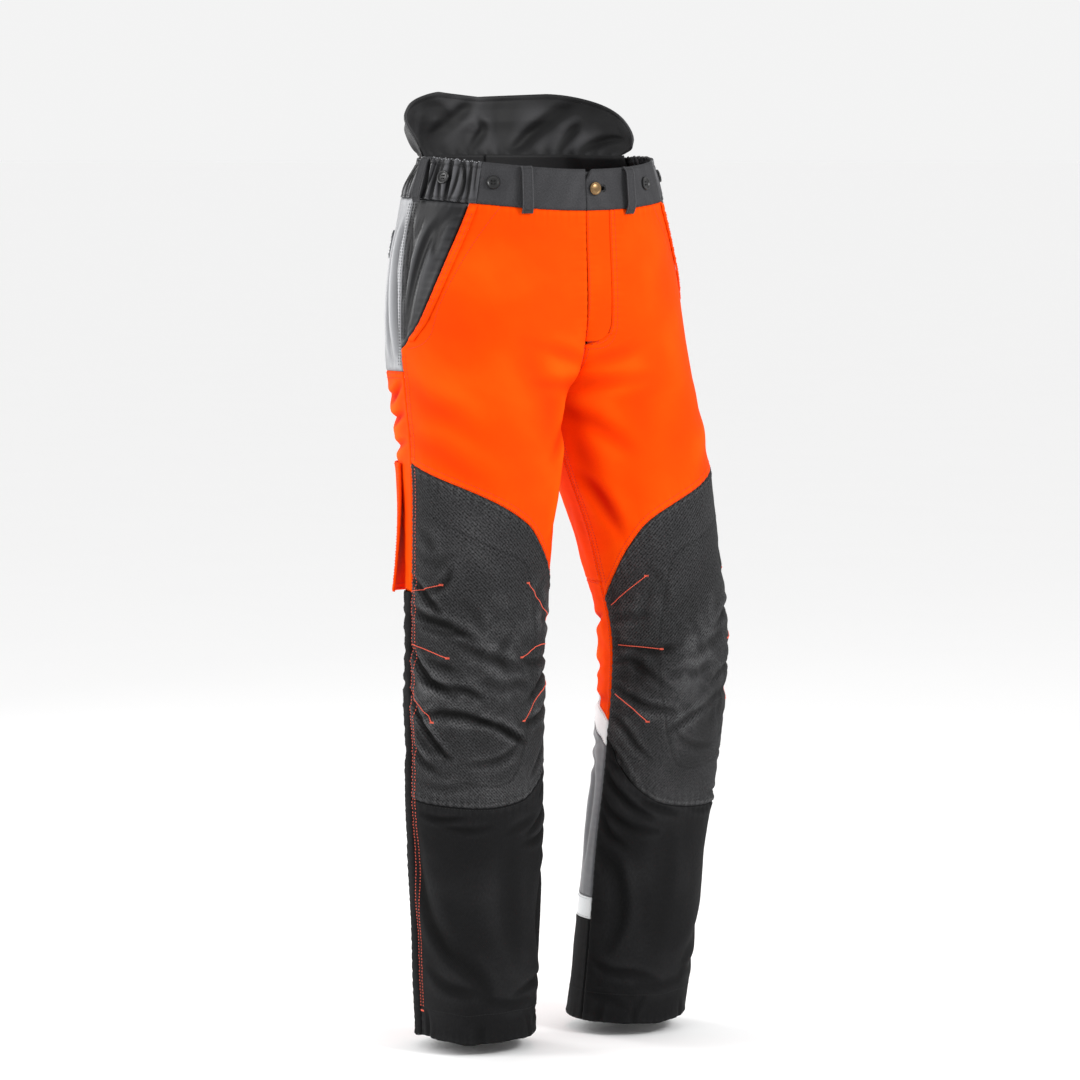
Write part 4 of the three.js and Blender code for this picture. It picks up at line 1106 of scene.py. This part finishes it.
def waistband_back(reach=0.4984, step=2.4, lift=1.0, thick=3.2):
    """The band across the centre back, from the left elastic to the right."""
    columns = int(reach * 2 * 235 / step)
    rows = int(BAND_HEIGHT / step) + 1
    across = np.linspace(reach, -reach, columns + columns % 2 + 1)
    v = np.linspace(0, 1, rows)[:, None]
    s = np.repeat(2 - np.abs(across)[None], rows, axis=0)
    z = (band_top(s) - SEAM_GAP) * (1 - v) + (band_bottom(s) + SEAM_GAP) * v
    side = np.where(across >= 0, 1.0, -1.0)[None, :]
    rise = lift + band_relief(s, z)

    def face(offset):
        p, _ = surface.at(s, z, 1, offset)
        p[..., 0] *= side
        p[..., 0] = np.where(np.abs(across)[None] < 1e-9, 0, p[..., 0])
        return p
    ends = (reach - np.abs(across))[None] * 235
    nearest = np.minimum(np.minimum(band_top(s) - z, z - band_bottom(s)), ends)
    # Painted light and shade: the band's relief is kept to colour its raised cloth lighter and its dips darker.
    obj = closed_sheet("waistband_back", face(rise), face(rise - thick), False,
                       np.stack([np.broadcast_to(across * 0.235, s.shape), z * MM], axis=-1),
                       {"fold_shade": np.clip((rise - lift) / 3, -1, 1), "edge": np.clip(nearest / 20, 0, 1)})
    attach(obj, "pelvis", "waistband")
    stands_for(obj, "waistband_back")
    soft_piece(obj, s.shape, "stretched")
    return obj


TACK_X, TACK_Z = 12.0, -24.0
EYE_LENGTH = 13


def cut_away(obj, tool):
    modifier = obj.modifiers.new("cut", "BOOLEAN")
    modifier.operation, modifier.solver, modifier.object = "DIFFERENCE", "EXACT", tool
    bpy.context.view_layer.update()
    graph = bpy.context.evaluated_depsgraph_get()
    mesh = bpy.data.meshes.new_from_object(obj.evaluated_get(graph))
    obj.modifiers.clear()
    old = obj.data
    obj.data = mesh
    bpy.data.meshes.remove(old)
    bpy.data.objects.remove(tool)


def prism(name, outline, y0, y1):
    """A prism through the front of the garment: outline is (x, z) in millimetres, y0 < y1."""
    n = len(outline)
    verts = [(x * MM, y * MM, z * MM) for y in (y0, y1) for x, z in outline]
    faces = [list(range(n)), list(range(2 * n - 1, n - 1, -1))]
    faces += [[(i + 1) % n, i, n + i, n + (i + 1) % n] for i in range(n)]
    obj = mesh_object(name, verts, faces)
    tidy_normals(obj.data)
    return obj


def tidy_normals(mesh):
    bm = bmesh.new()
    bm.from_mesh(mesh)
    bmesh.ops.recalc_face_normals(bm, faces=bm.faces[:])
    bm.to_mesh(mesh)
    bm.free()


def slot_outline(x0, x1, radius, count=10):
    points = []
    for centre, start in ((x1, -90), (x0, 90)):
        for k in range(count + 1):
            a = math.radians(start + 180 * k / count)
            points.append((centre + radius * math.cos(a), TACK_Z + radius * math.sin(a)))
    return points


def cut_buttonhole(band):
    """The eye that the tack button's post passes through, with a worked edge."""
    cut_away(band, prism("eye_tool", slot_outline(TACK_X, TACK_X + EYE_LENGTH, 2.7), -170, -80))
    trees.pop(band.name, None)
    t = thread("buttonhole", "thread_dark", body="pelvis")
    outline = slot_outline(TACK_X, TACK_X + EYE_LENGTH, 4.2, 8)
    outline.append(outline[0])
    dense = [(a[0] + (b[0] - a[0]) * k, a[1] + (b[1] - a[1]) * k)
             for a, b in zip(outline[:-1], outline[1:]) for k in np.linspace(0, 1, 6, endpoint=False)]
    run = 1.0
    last = dense[0]
    for point in dense:
        run += math.dist(point, last)
        last = point
        if run < 1.0:
            continue
        run = 0.0
        centre_x = min(max(point[0], TACK_X), TACK_X + EYE_LENGTH)
        away = np.array([point[0] - centre_x, 0, point[1] - TACK_Z])
        away /= np.linalg.norm(away) + 1e-9
        span = np.linspace(-1.1, 1.1, 5)[:, None] * away
        p = (np.array([point[0], -130, point[1]]) + span) * MM
        n = np.tile([0.0, -1.0, 0.0], (5, 1))
        t.loops(drop_on([band], p, n)[None], n[None], 0.42)


# ------------------------------------------------------------------ straps, buttons and metal
def frame_at(s, z, side, stand_off):
    p, n = surface.at(np.array([s]), np.array([z]), side, stand_off)
    out = Vector(n[0])
    if s == 2:
        out = Vector((0, out.y, out.z))
        p[0][0] = 0
    out.normalize()
    across = Vector((0, 0, 1)).cross(out).normalized()
    up = out.cross(across)
    turn = Matrix((across, up, out)).transposed().to_4x4()
    return Matrix.Translation(Vector(p[0])) @ turn


def belt_loop(name, s, side, stand_off):
    """A folded strap, sewn down at both ends, that bows away from the band."""
    path = np.array([(0.9, 24.2), (2.2, 24.2), (4.3, 22.6), (6.6, 18.6), (7.3, 13), (7.3, 0),
                     (7.3, -14), (7.1, -20.5), (5.6, -26), (3.2, -30.5), (1.8, -32.6), (0.9, -32.8)])
    fine = spline(path, 4)
    rows = len(fine)
    way = np.gradient(fine, axis=0)
    way /= np.linalg.norm(way, axis=1, keepdims=True)
    out = np.stack([-way[:, 1], way[:, 0]], axis=1)
    x = np.linspace(-7, 7, 15)
    edge = 7 - np.abs(x)
    lip = 0.25 * np.exp(-((edge - 0.9) / 0.8) ** 2) - 0.22 * np.exp(-((edge - 2.3) / 0.4) ** 2)

    def face(offset):
        p = np.zeros((rows, len(x), 3))
        p[..., 0] = x[None]
        p[..., 2] = fine[:, 0, None] + out[:, 0, None] * offset
        p[..., 1] = fine[:, 1, None] + out[:, 1, None] * offset
        return p * MM
    sign = 1 if out[rows // 2, 0] > 0 else -1
    outer, inner = face(sign * (0.75 + lip)), face(-sign * 0.75 * np.ones(len(x)))
    run = np.concatenate([[0], np.cumsum(np.linalg.norm(np.diff(fine, axis=0), axis=1))])
    uv = np.stack(np.broadcast_arrays(x[None] * MM, -run[:, None] * MM), axis=-1)
    # Painted light and shade: the strap's rolled edges are coloured lighter and the grooves inside them darker.
    grid = {"fold_shade": np.broadcast_to(lip[None] * 2, outer.shape[:2]).copy(),
            "edge": np.broadcast_to(edge[None] / 20, outer.shape[:2]).copy()}
    obj = closed_sheet(name, outer, inner, True, uv, grid)
    place = frame_at(s, float(band_top(s)) - 25, side, stand_off)
    obj.data.transform(place)
    attach(obj, "pelvis", "waistband")
    stands_for(obj, name)
    soft_piece(obj, outer.shape[:2], "stretched")
    t = thread("stitches_loops", "thread_grey", body="pelvis")
    turn = np.array(place.to_3x3())
    origin = np.array(place.translation)
    for column in (-4.6, 4.6):
        p = np.zeros((rows, 3))
        p[:, 0], p[:, 1], p[:, 2] = column, fine[:, 1], fine[:, 0]
        n = np.zeros((rows, 3))
        n[:, 1], n[:, 2] = out[:, 1] * sign, out[:, 0] * sign
        base = p * MM @ turn.T + origin
        t.line(base + (n @ turn.T) * 0.75 * MM, n @ turn.T, [obj], pitch=2.8, length=2.1, radius=0.34)
    for height in (21.6, -29.6):
        for k in np.linspace(-5.6, 5.6, 13):
            p = np.array([[k, height + d, 6.0] for d in np.linspace(-1.0, 1.0, 5)]) * MM @ turn.T + origin
            n = np.tile(turn @ np.array([0, 0, 1.0]), (5, 1))
            t.loops(drop_on([obj], p, n)[None], n[None], 0.42)


def lathe_mesh(name, profile, segments=40):
    """profile is (radius, height) in millimetres; closed round the axis."""
    verts, faces, rings = [], [], []
    for r, h in profile:
        if r < 1e-6:
            rings.append([len(verts)])
            verts.append((0, 0, h * MM))
        else:
            rings.append(list(range(len(verts), len(verts) + segments)))
            for k in range(segments):
                a = 2 * math.pi * k / segments
                verts.append((r * math.cos(a) * MM, r * math.sin(a) * MM, h * MM))
    for first, second in zip(rings[:-1], rings[1:]):
        for k in range(segments):
            m = (k + 1) % segments
            quad = [first[k % len(first)], first[m % len(first)], second[m % len(second)], second[k % len(second)]]
            corner = list(dict.fromkeys(quad))
            if len(corner) > 2:
                faces.append(corner)
    obj = mesh_object(name, verts, faces)
    tidy_normals(obj.data)
    return obj


def shade_smooth(obj, angle=35):
    mesh = obj.data
    mesh.polygons.foreach_set("use_smooth", np.ones(len(mesh.polygons), bool))
    mesh.update()
    limit = math.radians(angle)
    bm = bmesh.new()
    bm.from_mesh(mesh)
    for edge in bm.edges:
        edge.smooth = len(edge.link_faces) == 2 and edge.calc_face_angle(0) < limit
    bm.to_mesh(mesh)
    bm.free()


BUTTON = [(0, 0), (7.9, 0), (8.4, 0.35), (8.5, 1.1), (8.4, 2.0), (8.0, 2.6), (7.3, 2.8), (6.6, 2.65), (5.9, 2.1),
          (5.3, 1.75), (4.4, 1.6), (0, 1.6)]


def brace_button(name, s, side, stand_off):
    place = frame_at(s, float(band_top(s)) - 24, side, stand_off)
    obj = lathe_mesh(name, BUTTON, 44)
    for k in range(4):
        a = math.pi / 4 + k * math.pi / 2
        tool = lathe_mesh("hole_tool", [(0, -1), (1.05, -1), (1.05, 4), (0, 4)], 14)
        tool.data.transform(Matrix.Translation((2.5 * math.cos(a) * MM, 2.5 * math.sin(a) * MM, 0)))
        cut_away(obj, tool)
    shade_smooth(obj, 32)
    obj.data.transform(place)
    attach(obj, "pelvis", "button_plastic")
    stands_for(obj, name)
    t = thread("button_threads", "thread_dark", body="pelvis")
    turn, origin = np.array(place.to_3x3()), np.array(place.translation)
    for y in (-1.77, 1.77):
        for offset in (-0.42, 0.0, 0.42):
            x = np.array([-2.0, -1.6, 0, 1.6, 2.0])
            p = np.stack([x, np.full(5, y + offset), np.array([0.4, 1.7, 2.15, 1.7, 0.4])], axis=1) * MM
            n = np.tile([0, 0, 1.0], (5, 1))
            t.loops((p @ turn.T + origin)[None], (n @ turn.T)[None], 0.36)


def tack_button():
    band = surface.at(np.array([0.05]), np.array([TACK_Z]), 1, 0)[0][0][1] / MM - 1
    turn = Matrix.Rotation(math.pi / 2, 4, "X")

    def placed(obj, y):
        obj.data.transform(Matrix.Translation((TACK_X * MM, y * MM, TACK_Z * MM)) @ turn)
        tidy_normals(obj.data)
        shade_smooth(obj, 40)
        return obj
    post = placed(lathe_mesh("tack_button_post", [(0, 0), (5, 0), (5, 0.7), (4.6, 1), (2.2, 1.4), (2.2, 10.2),
                                                  (0, 10.2)], 28), band + 6.7)
    cap = placed(lathe_mesh("tack_button_cap", [
        (2.6, 0), (6.4, 0), (7.6, 0.35), (8.15, 1.0), (8.2, 1.6), (8.0, 2.3), (7.5, 2.85), (6.9, 3.05),
        (6.5, 2.8), (6.2, 2.55), (5.6, 2.5), (5.1, 2.7), (4.4, 2.95), (3.0, 3.2), (1.5, 3.35), (0, 3.4), (0, 2.7),
        (2.6, 2.6), (2.6, 0)], 48), band - 1.3)
    for obj, node, body in ((post, "tack_button_post", "pelvis"), (cap, "tack_button_cap", "tack_button_cap")):
        attach(obj, body, "tack_brass")
        stands_for(obj, node)


# ------------------------------------------------------------------ hips, fly and pockets
def block(name, low, high, bevel=0.0):
    mesh = bpy.data.meshes.new(name)
    bm = bmesh.new()
    bmesh.ops.create_cube(bm, size=1)
    centre = (Vector(low) + Vector(high)) / 2
    size = Vector(high) - Vector(low)
    for v in bm.verts:
        v.co = Vector((v.co.x * size.x, v.co.y * size.y, v.co.z * size.z)) + centre
    if bevel:
        bmesh.ops.bevel(bm, geom=bm.edges[:], offset=bevel, segments=2, affect="EDGES", profile=0.7)
    for v in bm.verts:
        v.co *= MM
    bm.to_mesh(mesh)
    bm.free()
    return linked(name, mesh)


def joined(name, parts):
    mesh = bpy.data.meshes.new(name)
    bm = bmesh.new()
    for part in parts:
        bm.from_mesh(part.data)
        old = part.data
        bpy.data.objects.remove(part)
        bpy.data.meshes.remove(old)
    bm.to_mesh(mesh)
    bm.free()
    return linked(name, mesh)


def build_hips(fronts):
    for word, side in SIDES:
        flow = hip_flow(side)
        side_panel = panel(f"hip_side_panel_{word}", side, lambda z: pocket_slant(z) + 0.004, 1, band_bottom, -219,
                           "hip_panel", flow=flow, lift=-0.3)
        low, high = (lambda z: pocket_slant(z) - 0.05), (lambda z: pocket_slant(z) - 0.006)
        welt = panel(f"pocket_welt_{word}", side, low, high, lambda s: band_bottom(s) - 2, -212, "orange_shell",
                     flow=flow, lift=2.3, thick=1.4, step=2.0, extra_lift=lambda s, z: -0.5 * smooth((-z - 190) / 20))
        panel(f"hip_lining_{word}", side, 0.24, 0.96, lambda s: band_bottom(s) - 4, hip_lining_bottom, "lining",
              flow=flow, thick=1.6, **INSIDE)
        t = thread(f"stitches_pocket_{word}", "thread_orange", flow=flow)
        for shift in (-2.2, -7.6):
            t.row(side, along_z(lambda z: pocket_slant(z) - 0.006, -54, -208, shift), [welt, fronts[word]])
        inner = spline([(0.47, -44), (0.56, -76), (0.66, -120), (0.76, -170), (0.80, -202), (0.86, -216),
                        (0.95, -222)], 12)
        t.row(side, inner, [fronts[word]])
        side_thread = thread(f"side_seam_hip_{word}", "thread_dark", flow=flow)
        for shift in (-2.6, -7.6):
            side_thread.row(side, along_z(1.0, -42, -212, shift), [side_panel])
    left = fronts["left"]
    fly_flow = ("pelvis", "fly_cover", (0.036, -0.1285, -0.12), (0.027, -0.1285, -0.12))
    fly = panel("fly_cover", 1, 0, fly_edge(-0.25), band_bottom, FLY_BOTTOM + 0.4, "orange_shell", step=2.0,
                flow=fly_flow, seams=(0.6, 0.2, 0.5, 0.3))
    j = thread("stitches_fly_left", "thread_orange", flow=hip_flow(1))
    for grow in (3.0, 8.5):
        t = np.linspace(0, 1, 30)
        x = FLY_WIDTH + grow - FLY_CORNER * t ** 2
        z = FLY_BOTTOM - grow + FLY_CORNER * (1 - t) ** 2
        x = np.concatenate([np.full(60, FLY_WIDTH + grow), x, np.linspace(x[-1], 2.5, 8)[1:]])
        z = np.concatenate([np.linspace(-40, FLY_BOTTOM - grow + FLY_CORNER, 61)[:-1], z, np.full(7, z[-1])])
        j.row(1, np.stack([x / surface.girth(z), z], axis=1), [left])
    rim = thread("stitches_fly_edge", "thread_orange", flow=fly_flow)
    rim.row(1, along_z(0, -42, -208, 3.0), [fly])
    r = thread("stitches_front_centre_right", "thread_orange", flow=hip_flow(-1))
    for shift in (2.6, 8.0):
        r.row(-1, along_z(0, -216, -262, shift), [fronts["right"]])
    j.row(1, along_z(0, -222, -262, 2.6), [left])
    j.bar(1, (0.02, -214), (0.07, -214), [left], 10, 1.6)


ZIP_Y = -104.0


def build_zip():
    shield = block("fly_shield", (-22, ZIP_Y + 2.2, -222), (22, ZIP_Y + 3.7, -40), 0.5)
    parts = [block("tape", (-4, ZIP_Y + 0.5, -218), (-0.8, ZIP_Y + 1.1, -60), 0.1),
             block("tape", (0.8, ZIP_Y + 0.5, -218), (4, ZIP_Y + 1.1, -60), 0.1)]
    for k in range(66):
        z = -61.6 - k * 2.36
        x = -0.55 if k % 2 else 0.55
        parts.append(block("tooth", (x - 1.7, ZIP_Y, z - 0.62), (x + 1.7, ZIP_Y + 1.7, z + 0.62), 0.25))
    chain = joined("zip_chain", parts)
    body = [(-3, 0), (3, 0), (4.4, 6.4), (4.5, 12), (-4.5, 12), (-4.4, 6.4)]
    slider = prism("zip_slider", [(x, z - 76) for x, z in body], ZIP_Y - 3.6, ZIP_Y - 0.4)
    bevel(slider, 0.5)
    tab = prism("zip_puller", [(-3.6, -82), (-3.2, -84.6), (-2.2, -86), (2.2, -86), (3.2, -84.6), (3.6, -82),
                               (3.0, -66), (-3.0, -66)], ZIP_Y - 5.4, ZIP_Y - 4.0)
    hole = lathe_mesh("hole_tool", [(0, -4), (1.7, -4), (1.7, 4), (0, 4)], 20)
    hole.data.transform(Matrix.Translation((0, (ZIP_Y - 4.7) * MM, -81 * MM)) @ Matrix.Rotation(math.pi / 2, 4, "X"))
    cut_away(tab, hole)
    bevel(tab, 0.25)
    for obj, node, body_name, slot_name in ((shield, "fly_shield", "pelvis", "lining"),
                                            (chain, "zip_chain", "pelvis", "zip_metal"),
                                            (slider, "zip_slider", "zip_slider", "zip_metal"),
                                            (tab, "zip_puller", "zip_puller", "zip_metal")):
        box_uv(obj)
        attach(obj, body_name, slot_name)
        shade_smooth(obj, 40)
        stands_for(obj, node)


def bevel(obj, width):
    bm = bmesh.new()
    bm.from_mesh(obj.data)
    sharp = [e for e in bm.edges if len(e.link_faces) == 2 and e.calc_face_angle(0) > 0.5]
    bmesh.ops.bevel(bm, geom=sharp, offset=width * MM, segments=2, affect="EDGES", profile=0.7, clamp_overlap=True)
    bm.to_mesh(obj.data)
    bm.free()


def box_uv(obj):
    mesh = obj.data
    if mesh.uv_layers:
        return
    layer = mesh.uv_layers.new(name="UVMap")
    for polygon in mesh.polygons:
        axis = max(range(3), key=lambda k: abs(polygon.normal[k]))
        keep = [k for k in range(3) if k != axis]
        for loop in polygon.loop_indices:
            co = mesh.vertices[mesh.loops[loop].vertex_index].co
            layer.data[loop].uv = (co[keep[0]], co[keep[1]])


def build_seat():
    for word, side in SIDES:
        flow = hip_flow(side)
        seat = panel(f"seat_{word}", side, 1, 2, band_bottom, seat_bottom, "seat_grey", flow=flow, step=3.0)
        pocket = panel(f"back_pocket_{word}", side, 1.36, 1.78, -86, -222, "seat_grey", flow=flow, lift=3.3,
                       thick=1.3, extra_lift=lambda s, z: 0.5 * np.sin(np.clip((s - 1.36) / 0.42, 0, 1) * np.pi),
                       held="stretched")
        t = thread(f"stitches_seat_{word}", "thread_dark", flow=flow)
        for inset in (2.4, 8.0):
            shift = inset / 300
            outline = [(1.36 + shift, -90), (1.36 + shift, -222 + inset), (1.78 - shift, -222 + inset),
                       (1.78 - shift, -90)]
            for a, b in zip(outline[:-1], outline[1:]):
                t.row(side, cut_points(a, b, 40), [pocket], radius=0.38)
        t.row(side, cut_points((1.365, -96), (1.775, -96), 40), [pocket], radius=0.38)
        for end in (1.368, 1.772):
            t.bar(side, (end - 0.008, -90), (end + 0.008, -90), [pocket], 7, 2.0, 0.45)
        for shift in (2.6, 7.6):
            t.row(side, along_z(1.0, -42, -246, shift), [seat], radius=0.38)
            t.row(side, along_z(2.0, -54, -246, -shift), [seat], radius=0.38)
    flow = ("pelvis", "back_pocket_flap", (-0.1057, 0.1068, -0.080), (-0.1057, 0.1068, -0.088))
    flap = panel("back_pocket_flap_right", -1, 1.35, 1.79, -78, lambda s: -120 + 7 * np.abs((s - 1.57) / 0.22),
                 "seat_grey", lift=7.3, thick=1.3, flow=flow)
    t = thread("stitches_pocket_flap", "thread_dark", flow=flow)
    edge = np.linspace(1.36, 1.78, 40)
    t.row(-1, np.stack([edge, -117.5 + 7 * np.abs((edge - 1.57) / 0.22)], axis=1), [flap], radius=0.38)
    t.row(-1, cut_points((1.36, -81), (1.78, -81), 40), [flap], radius=0.38)
    for end in (1.36, 1.78):
        t.row(-1, cut_points((end, -81), (end, -110), 12), [flap], radius=0.38)


def build_ruler_pocket():
    flow = ("thigh_right", "ruler_pocket", (-0.1915, 0.0125, -0.362), (-0.1915, 0.0125, -0.392))

    def hang(s, z):
        t = np.clip((-362 - z) / 158, 0, 1)
        curl = 1.2 * np.sin((s - 1.08) / 0.24 * np.pi * 2.0 + t * 3) * t
        return 12 * t * t + curl
    pocket = panel("ruler_pocket_right", -1, 1.08, 1.32, -362, -520, "orange_shell", flow=flow, lift=5.2, thick=2.2,
                   extra_lift=hang, fold=0.25)
    t = thread("stitches_ruler", "thread_orange", flow=flow)
    for inset in (2.4, 8.0):
        for s in (1.08 + inset / NOMINAL, 1.32 - inset / NOMINAL):
            t.row(-1, cut_points((s, -366), (s, -514), 40), [pocket])
        t.row(-1, cut_points((1.09, -520 + inset), (1.31, -520 + inset), 24), [pocket])
    t.row(-1, cut_points((1.09, -365), (1.31, -365), 24), [pocket])


# ------------------------------------------------------------------ raised back flap
FLAP_CORE = (0.3, 0.46)  # share of the right and left half-width before the rounded end begins
FLAP_BASE = 15.15


def flap_points(a, t):
    """Middle surface of the flap and its outward normal; a runs -1 (right) to 1 (left)."""
    side = np.where(a >= 0, 1.0, -1.0)
    core = np.where(a >= 0, FLAP_CORE[1], FLAP_CORE[0])
    end = np.clip((np.abs(a) - core) / (1 - core), 0, 1)
    power = np.where(a >= 0, 1.8, 1.35)
    arch = np.clip(1 - end ** power, 0, 1) ** (1 / power)
    tall = 76 + np.where(a >= 0, 4, 6) * np.minimum(np.abs(a), core) / core
    rise = (12 + (tall - 12) * arch) * t
    s = 2 - 0.9 * np.abs(a) - 0.06 * end * np.sin(np.pi / 2 * np.clip(t, 0, 1))
    lean = (16 + a) * (1 - np.exp(-rise / 26)) - PINCH * pinched(s) * np.exp(-rise / 30)
    base, _ = surface.at(s, np.full(s.shape, 17.0), 1, 0)
    _, normal = surface.at(s, np.full(s.shape, 10.0), 1, 0)
    normal[..., 2] = 0
    normal /= np.linalg.norm(normal, axis=-1, keepdims=True)
    centre = np.abs(a) < 1e-6
    normal[centre] = (0, 1, 0)
    place = base + normal * ((lean - 1) * MM)[..., None]
    place[..., 2] = (FLAP_BASE + rise) * MM
    sign = np.stack([side, np.ones_like(side), np.ones_like(side)], axis=-1)
    return place * sign, normal * sign


FLAP_FOLDS = [
    ([(-0.93, 0.05), (-0.86, 0.35), (-0.72, 0.72)], 3.0, 9), ([(-0.70, 0.08), (-0.74, 0.4), (-0.72, 0.7)], 1.6, 7),
    ([(-0.40, 0.32), (-0.22, 0.55), (-0.05, 0.86)], 3.2, 11), ([(-0.08, 0.12), (0.02, 0.42), (0.0, 0.62)], 2.6, 8),
    ([(0.22, 0.03), (0.40, 0.42), (0.62, 0.86)], 3.8, 11), ([(0.52, 0.03), (0.60, 0.36), (0.64, 0.55)], 3.0, 8),
    ([(0.66, 0.04), (0.78, 0.26), (0.93, 0.5)], 3.4, 9), ([(-0.5, 0.9), (-0.3, 0.72), (-0.18, 0.5)], 1.6, 10),
]


FLAP_HALF, FLAP_TALL = 200, 80


def flap_relief(a, t):
    u, w = a * FLAP_HALF, t * FLAP_TALL
    out = np.zeros(a.shape)
    for path, depth, width in FLAP_FOLDS:
        out += crease(u, w, [(p * FLAP_HALF, q * FLAP_TALL) for p, q in path], depth, width)
    return out + (gentle_waves(u, w, 77, 80, 1.1) + gentle_waves(u, w, 78, 26, 0.3))


def build_kidney_flap():
    a, t = np.meshgrid(np.linspace(1, -1, 231), np.linspace(1, 0, 45))
    u, w = a * FLAP_HALF, t * FLAP_TALL
    rise = flap_relief(a, t)
    base_gather = 0.9 * np.sin(u / 2.9 + 1.4 * np.sin(u / 19)) * np.exp(-(w / 9) ** 2)
    rise = rise * smooth(t / 0.16) + base_gather * smooth(t / 0.04) * 0.9
    edge = np.minimum((1 - np.abs(a)) * FLAP_HALF, (1 - t) * FLAP_TALL)
    piping = 0.5 * np.exp(-((edge - 2.6) / 1.8) ** 2) - 0.45 * np.exp(-((edge - 6.6) / 1.0) ** 2)
    middle, normal = flap_points(a, t)
    # The inner face looks towards the wearer, so folds are shaped on it.
    thick = 1.7 * np.sqrt(np.clip(edge / 2.0, 0.15, 1))
    outer = middle + normal * ((thick - rise) * MM)[..., None]
    inner = middle + normal * ((-thick - rise - piping) * MM)[..., None]
    # Painted light and shade: the flap's folds are kept to colour raised cloth lighter and creases darker.
    obj = closed_sheet("kidney_flap", outer, inner, False, np.stack([u * MM, w * MM], axis=-1),
                       {"fold_shade": np.clip(rise / 4, -1, 1), "edge": np.clip(edge / 20, 0, 1)})
    flow = ("pelvis", "back_flap", (0, 0.115, 0.017), (0, 0.115, 0.058))
    attach(obj, None, "flap_fabric", flow)
    stands_for(obj, "kidney_flap")
    soft_piece(obj, a.shape, "stretched")
    s = thread("stitches_flap", "thread_dark", flow=flow)
    across = np.linspace(-0.975, 0.975, 400)
    p, n = flap_points(across, np.full(across.shape, 0.925))
    s.line(p, -n, [obj], radius=0.38)
    s.line(p, n, [obj], radius=0.38)

    # The pad lies between the flap's two layers and swells its inner face.
    a, t = np.meshgrid(np.linspace(0.6, -0.6, 91), np.linspace(0.85, 0.3, 23))
    middle, normal = flap_points(a, t)
    edge = np.minimum((0.6 - np.abs(a)) * FLAP_HALF, np.minimum(0.85 - t, t - 0.3) * FLAP_TALL)
    rise = flap_relief(a, t)
    fall = rise * smooth(t / 0.16)
    outer = middle + normal * ((-1.0 - fall) * MM)[..., None]
    inner = middle + normal * ((-1.45 - fall - 1.9 * smooth(edge / 26)) * MM)[..., None]
    # The pad carries the same painted light and shade from its folds.
    pad = closed_sheet("kidney_pad", outer, inner, False, np.stack([a * 0.2, t * 0.08], axis=-1),
                       {"fold_shade": np.clip(rise / 4, -1, 1), "edge": np.ones(a.shape)})
    attach(pad, "back_flap", "flap_fabric")
    stands_for(pad, "kidney_pad")
    pads.append(pad)


# ------------------------------------------------------------------ assembly
fronts = {}
for word, side in SIDES:
    fronts[word] = build_leg(word, side)
build_hips(fronts)
build_seat()
build_waist()
for name, s, side, stand_off in (("belt_loop_front_right", 0.35, -1, 1.5), ("belt_loop_front_left", 0.27, 1, 1.5),
                                 ("belt_loop_side_right", 0.94, -1, 3.3), ("belt_loop_side_left", 0.94, 1, 3.3),
                                 ("belt_loop_back", 2, 1, 2.2)):
    belt_loop(name, s, side, stand_off)
for word, side in SIDES:
    brace_button(f"brace_button_front_{word}", 0.525 if side < 0 else 0.43, side, 1.5)
    brace_button(f"brace_button_side_{word}", 0.8, side, 3.3)
tack_button()
build_zip()
build_kidney_flap()
build_ruler_pocket()
for t in threads.values():
    t.finish()

# ------------------------------------------------------------------ floor, light and camera
world = bpy.data.worlds.new("world")
bpy.context.scene.world = world
world.use_nodes = True
world.node_tree.nodes["Background"].inputs["Color"].default_value = (1, 1, 1, 1)
world.node_tree.nodes["Background"].inputs["Strength"].default_value = 0.9
bpy.context.scene.view_settings.view_transform = "Standard"

FLOOR_RADIUS, FLOOR_LEVEL = 300, -1.0995
ring = [(FLOOR_RADIUS * math.cos(k * math.pi / 48), FLOOR_RADIUS * math.sin(k * math.pi / 48), FLOOR_LEVEL)
        for k in range(96)]
floor = mesh_object("floor", ring, [list(range(96))])
paint = Nodes("floor_paint")
paint.set(Base_Color=paint.mix(paint.noise(paint.add("TexCoord").outputs["Object"], 3.0), (0.985, 0.985, 0.985, 1),
                               (0.995, 0.995, 0.995, 1)), Roughness=0.9)
floor.data.materials.append(paint.material)


def point_at(obj, place, aim):
    obj.location = place
    obj.rotation_euler = (aim - obj.location).to_track_quat("-Z", "Y").to_euler()


def area_light(name, place, aim, size, power, tall=None):
    data = bpy.data.lights.new(name, "AREA")
    data.shape = "RECTANGLE"
    data.size, data.size_y, data.energy = size, tall or size, power
    point_at(linked(name, data), place, aim)


VIEW_ANGLE = math.radians(33)    # the camera stands this far round to the wearer's right
DISTANCE = 5.6
forward = Vector((math.sin(VIEW_ANGLE), math.cos(VIEW_ANGLE), 0))
right = Vector((math.cos(VIEW_ANGLE), -math.sin(VIEW_ANGLE), 0))
centre = Vector((0, 0, -0.45))
area_light("key", centre - forward * 1.6 + right * 2.2 + Vector((0, 0, 1.6)), centre, 0.9, 52)
area_light("side", centre - forward * 0.6 - right * 2.6 + Vector((0, 0, 0.9)), centre, 0.8, 30, 1.6)
area_light("rim", centre + forward * 1.6 - right * 2.0 + Vector((0, 0, 0.8)), centre, 0.9, 24, 1.8)

camera_data = bpy.data.cameras.new("camera")
camera_data.lens, camera_data.sensor_width = 147.6, 36
camera_data.clip_end = 600
camera = linked("camera", camera_data)
point_at(camera, Vector((0, 0, 0.03)) - forward * DISTANCE, Vector((0, 0, -0.47)) + right * 0.0102)
bpy.context.scene.camera = camera
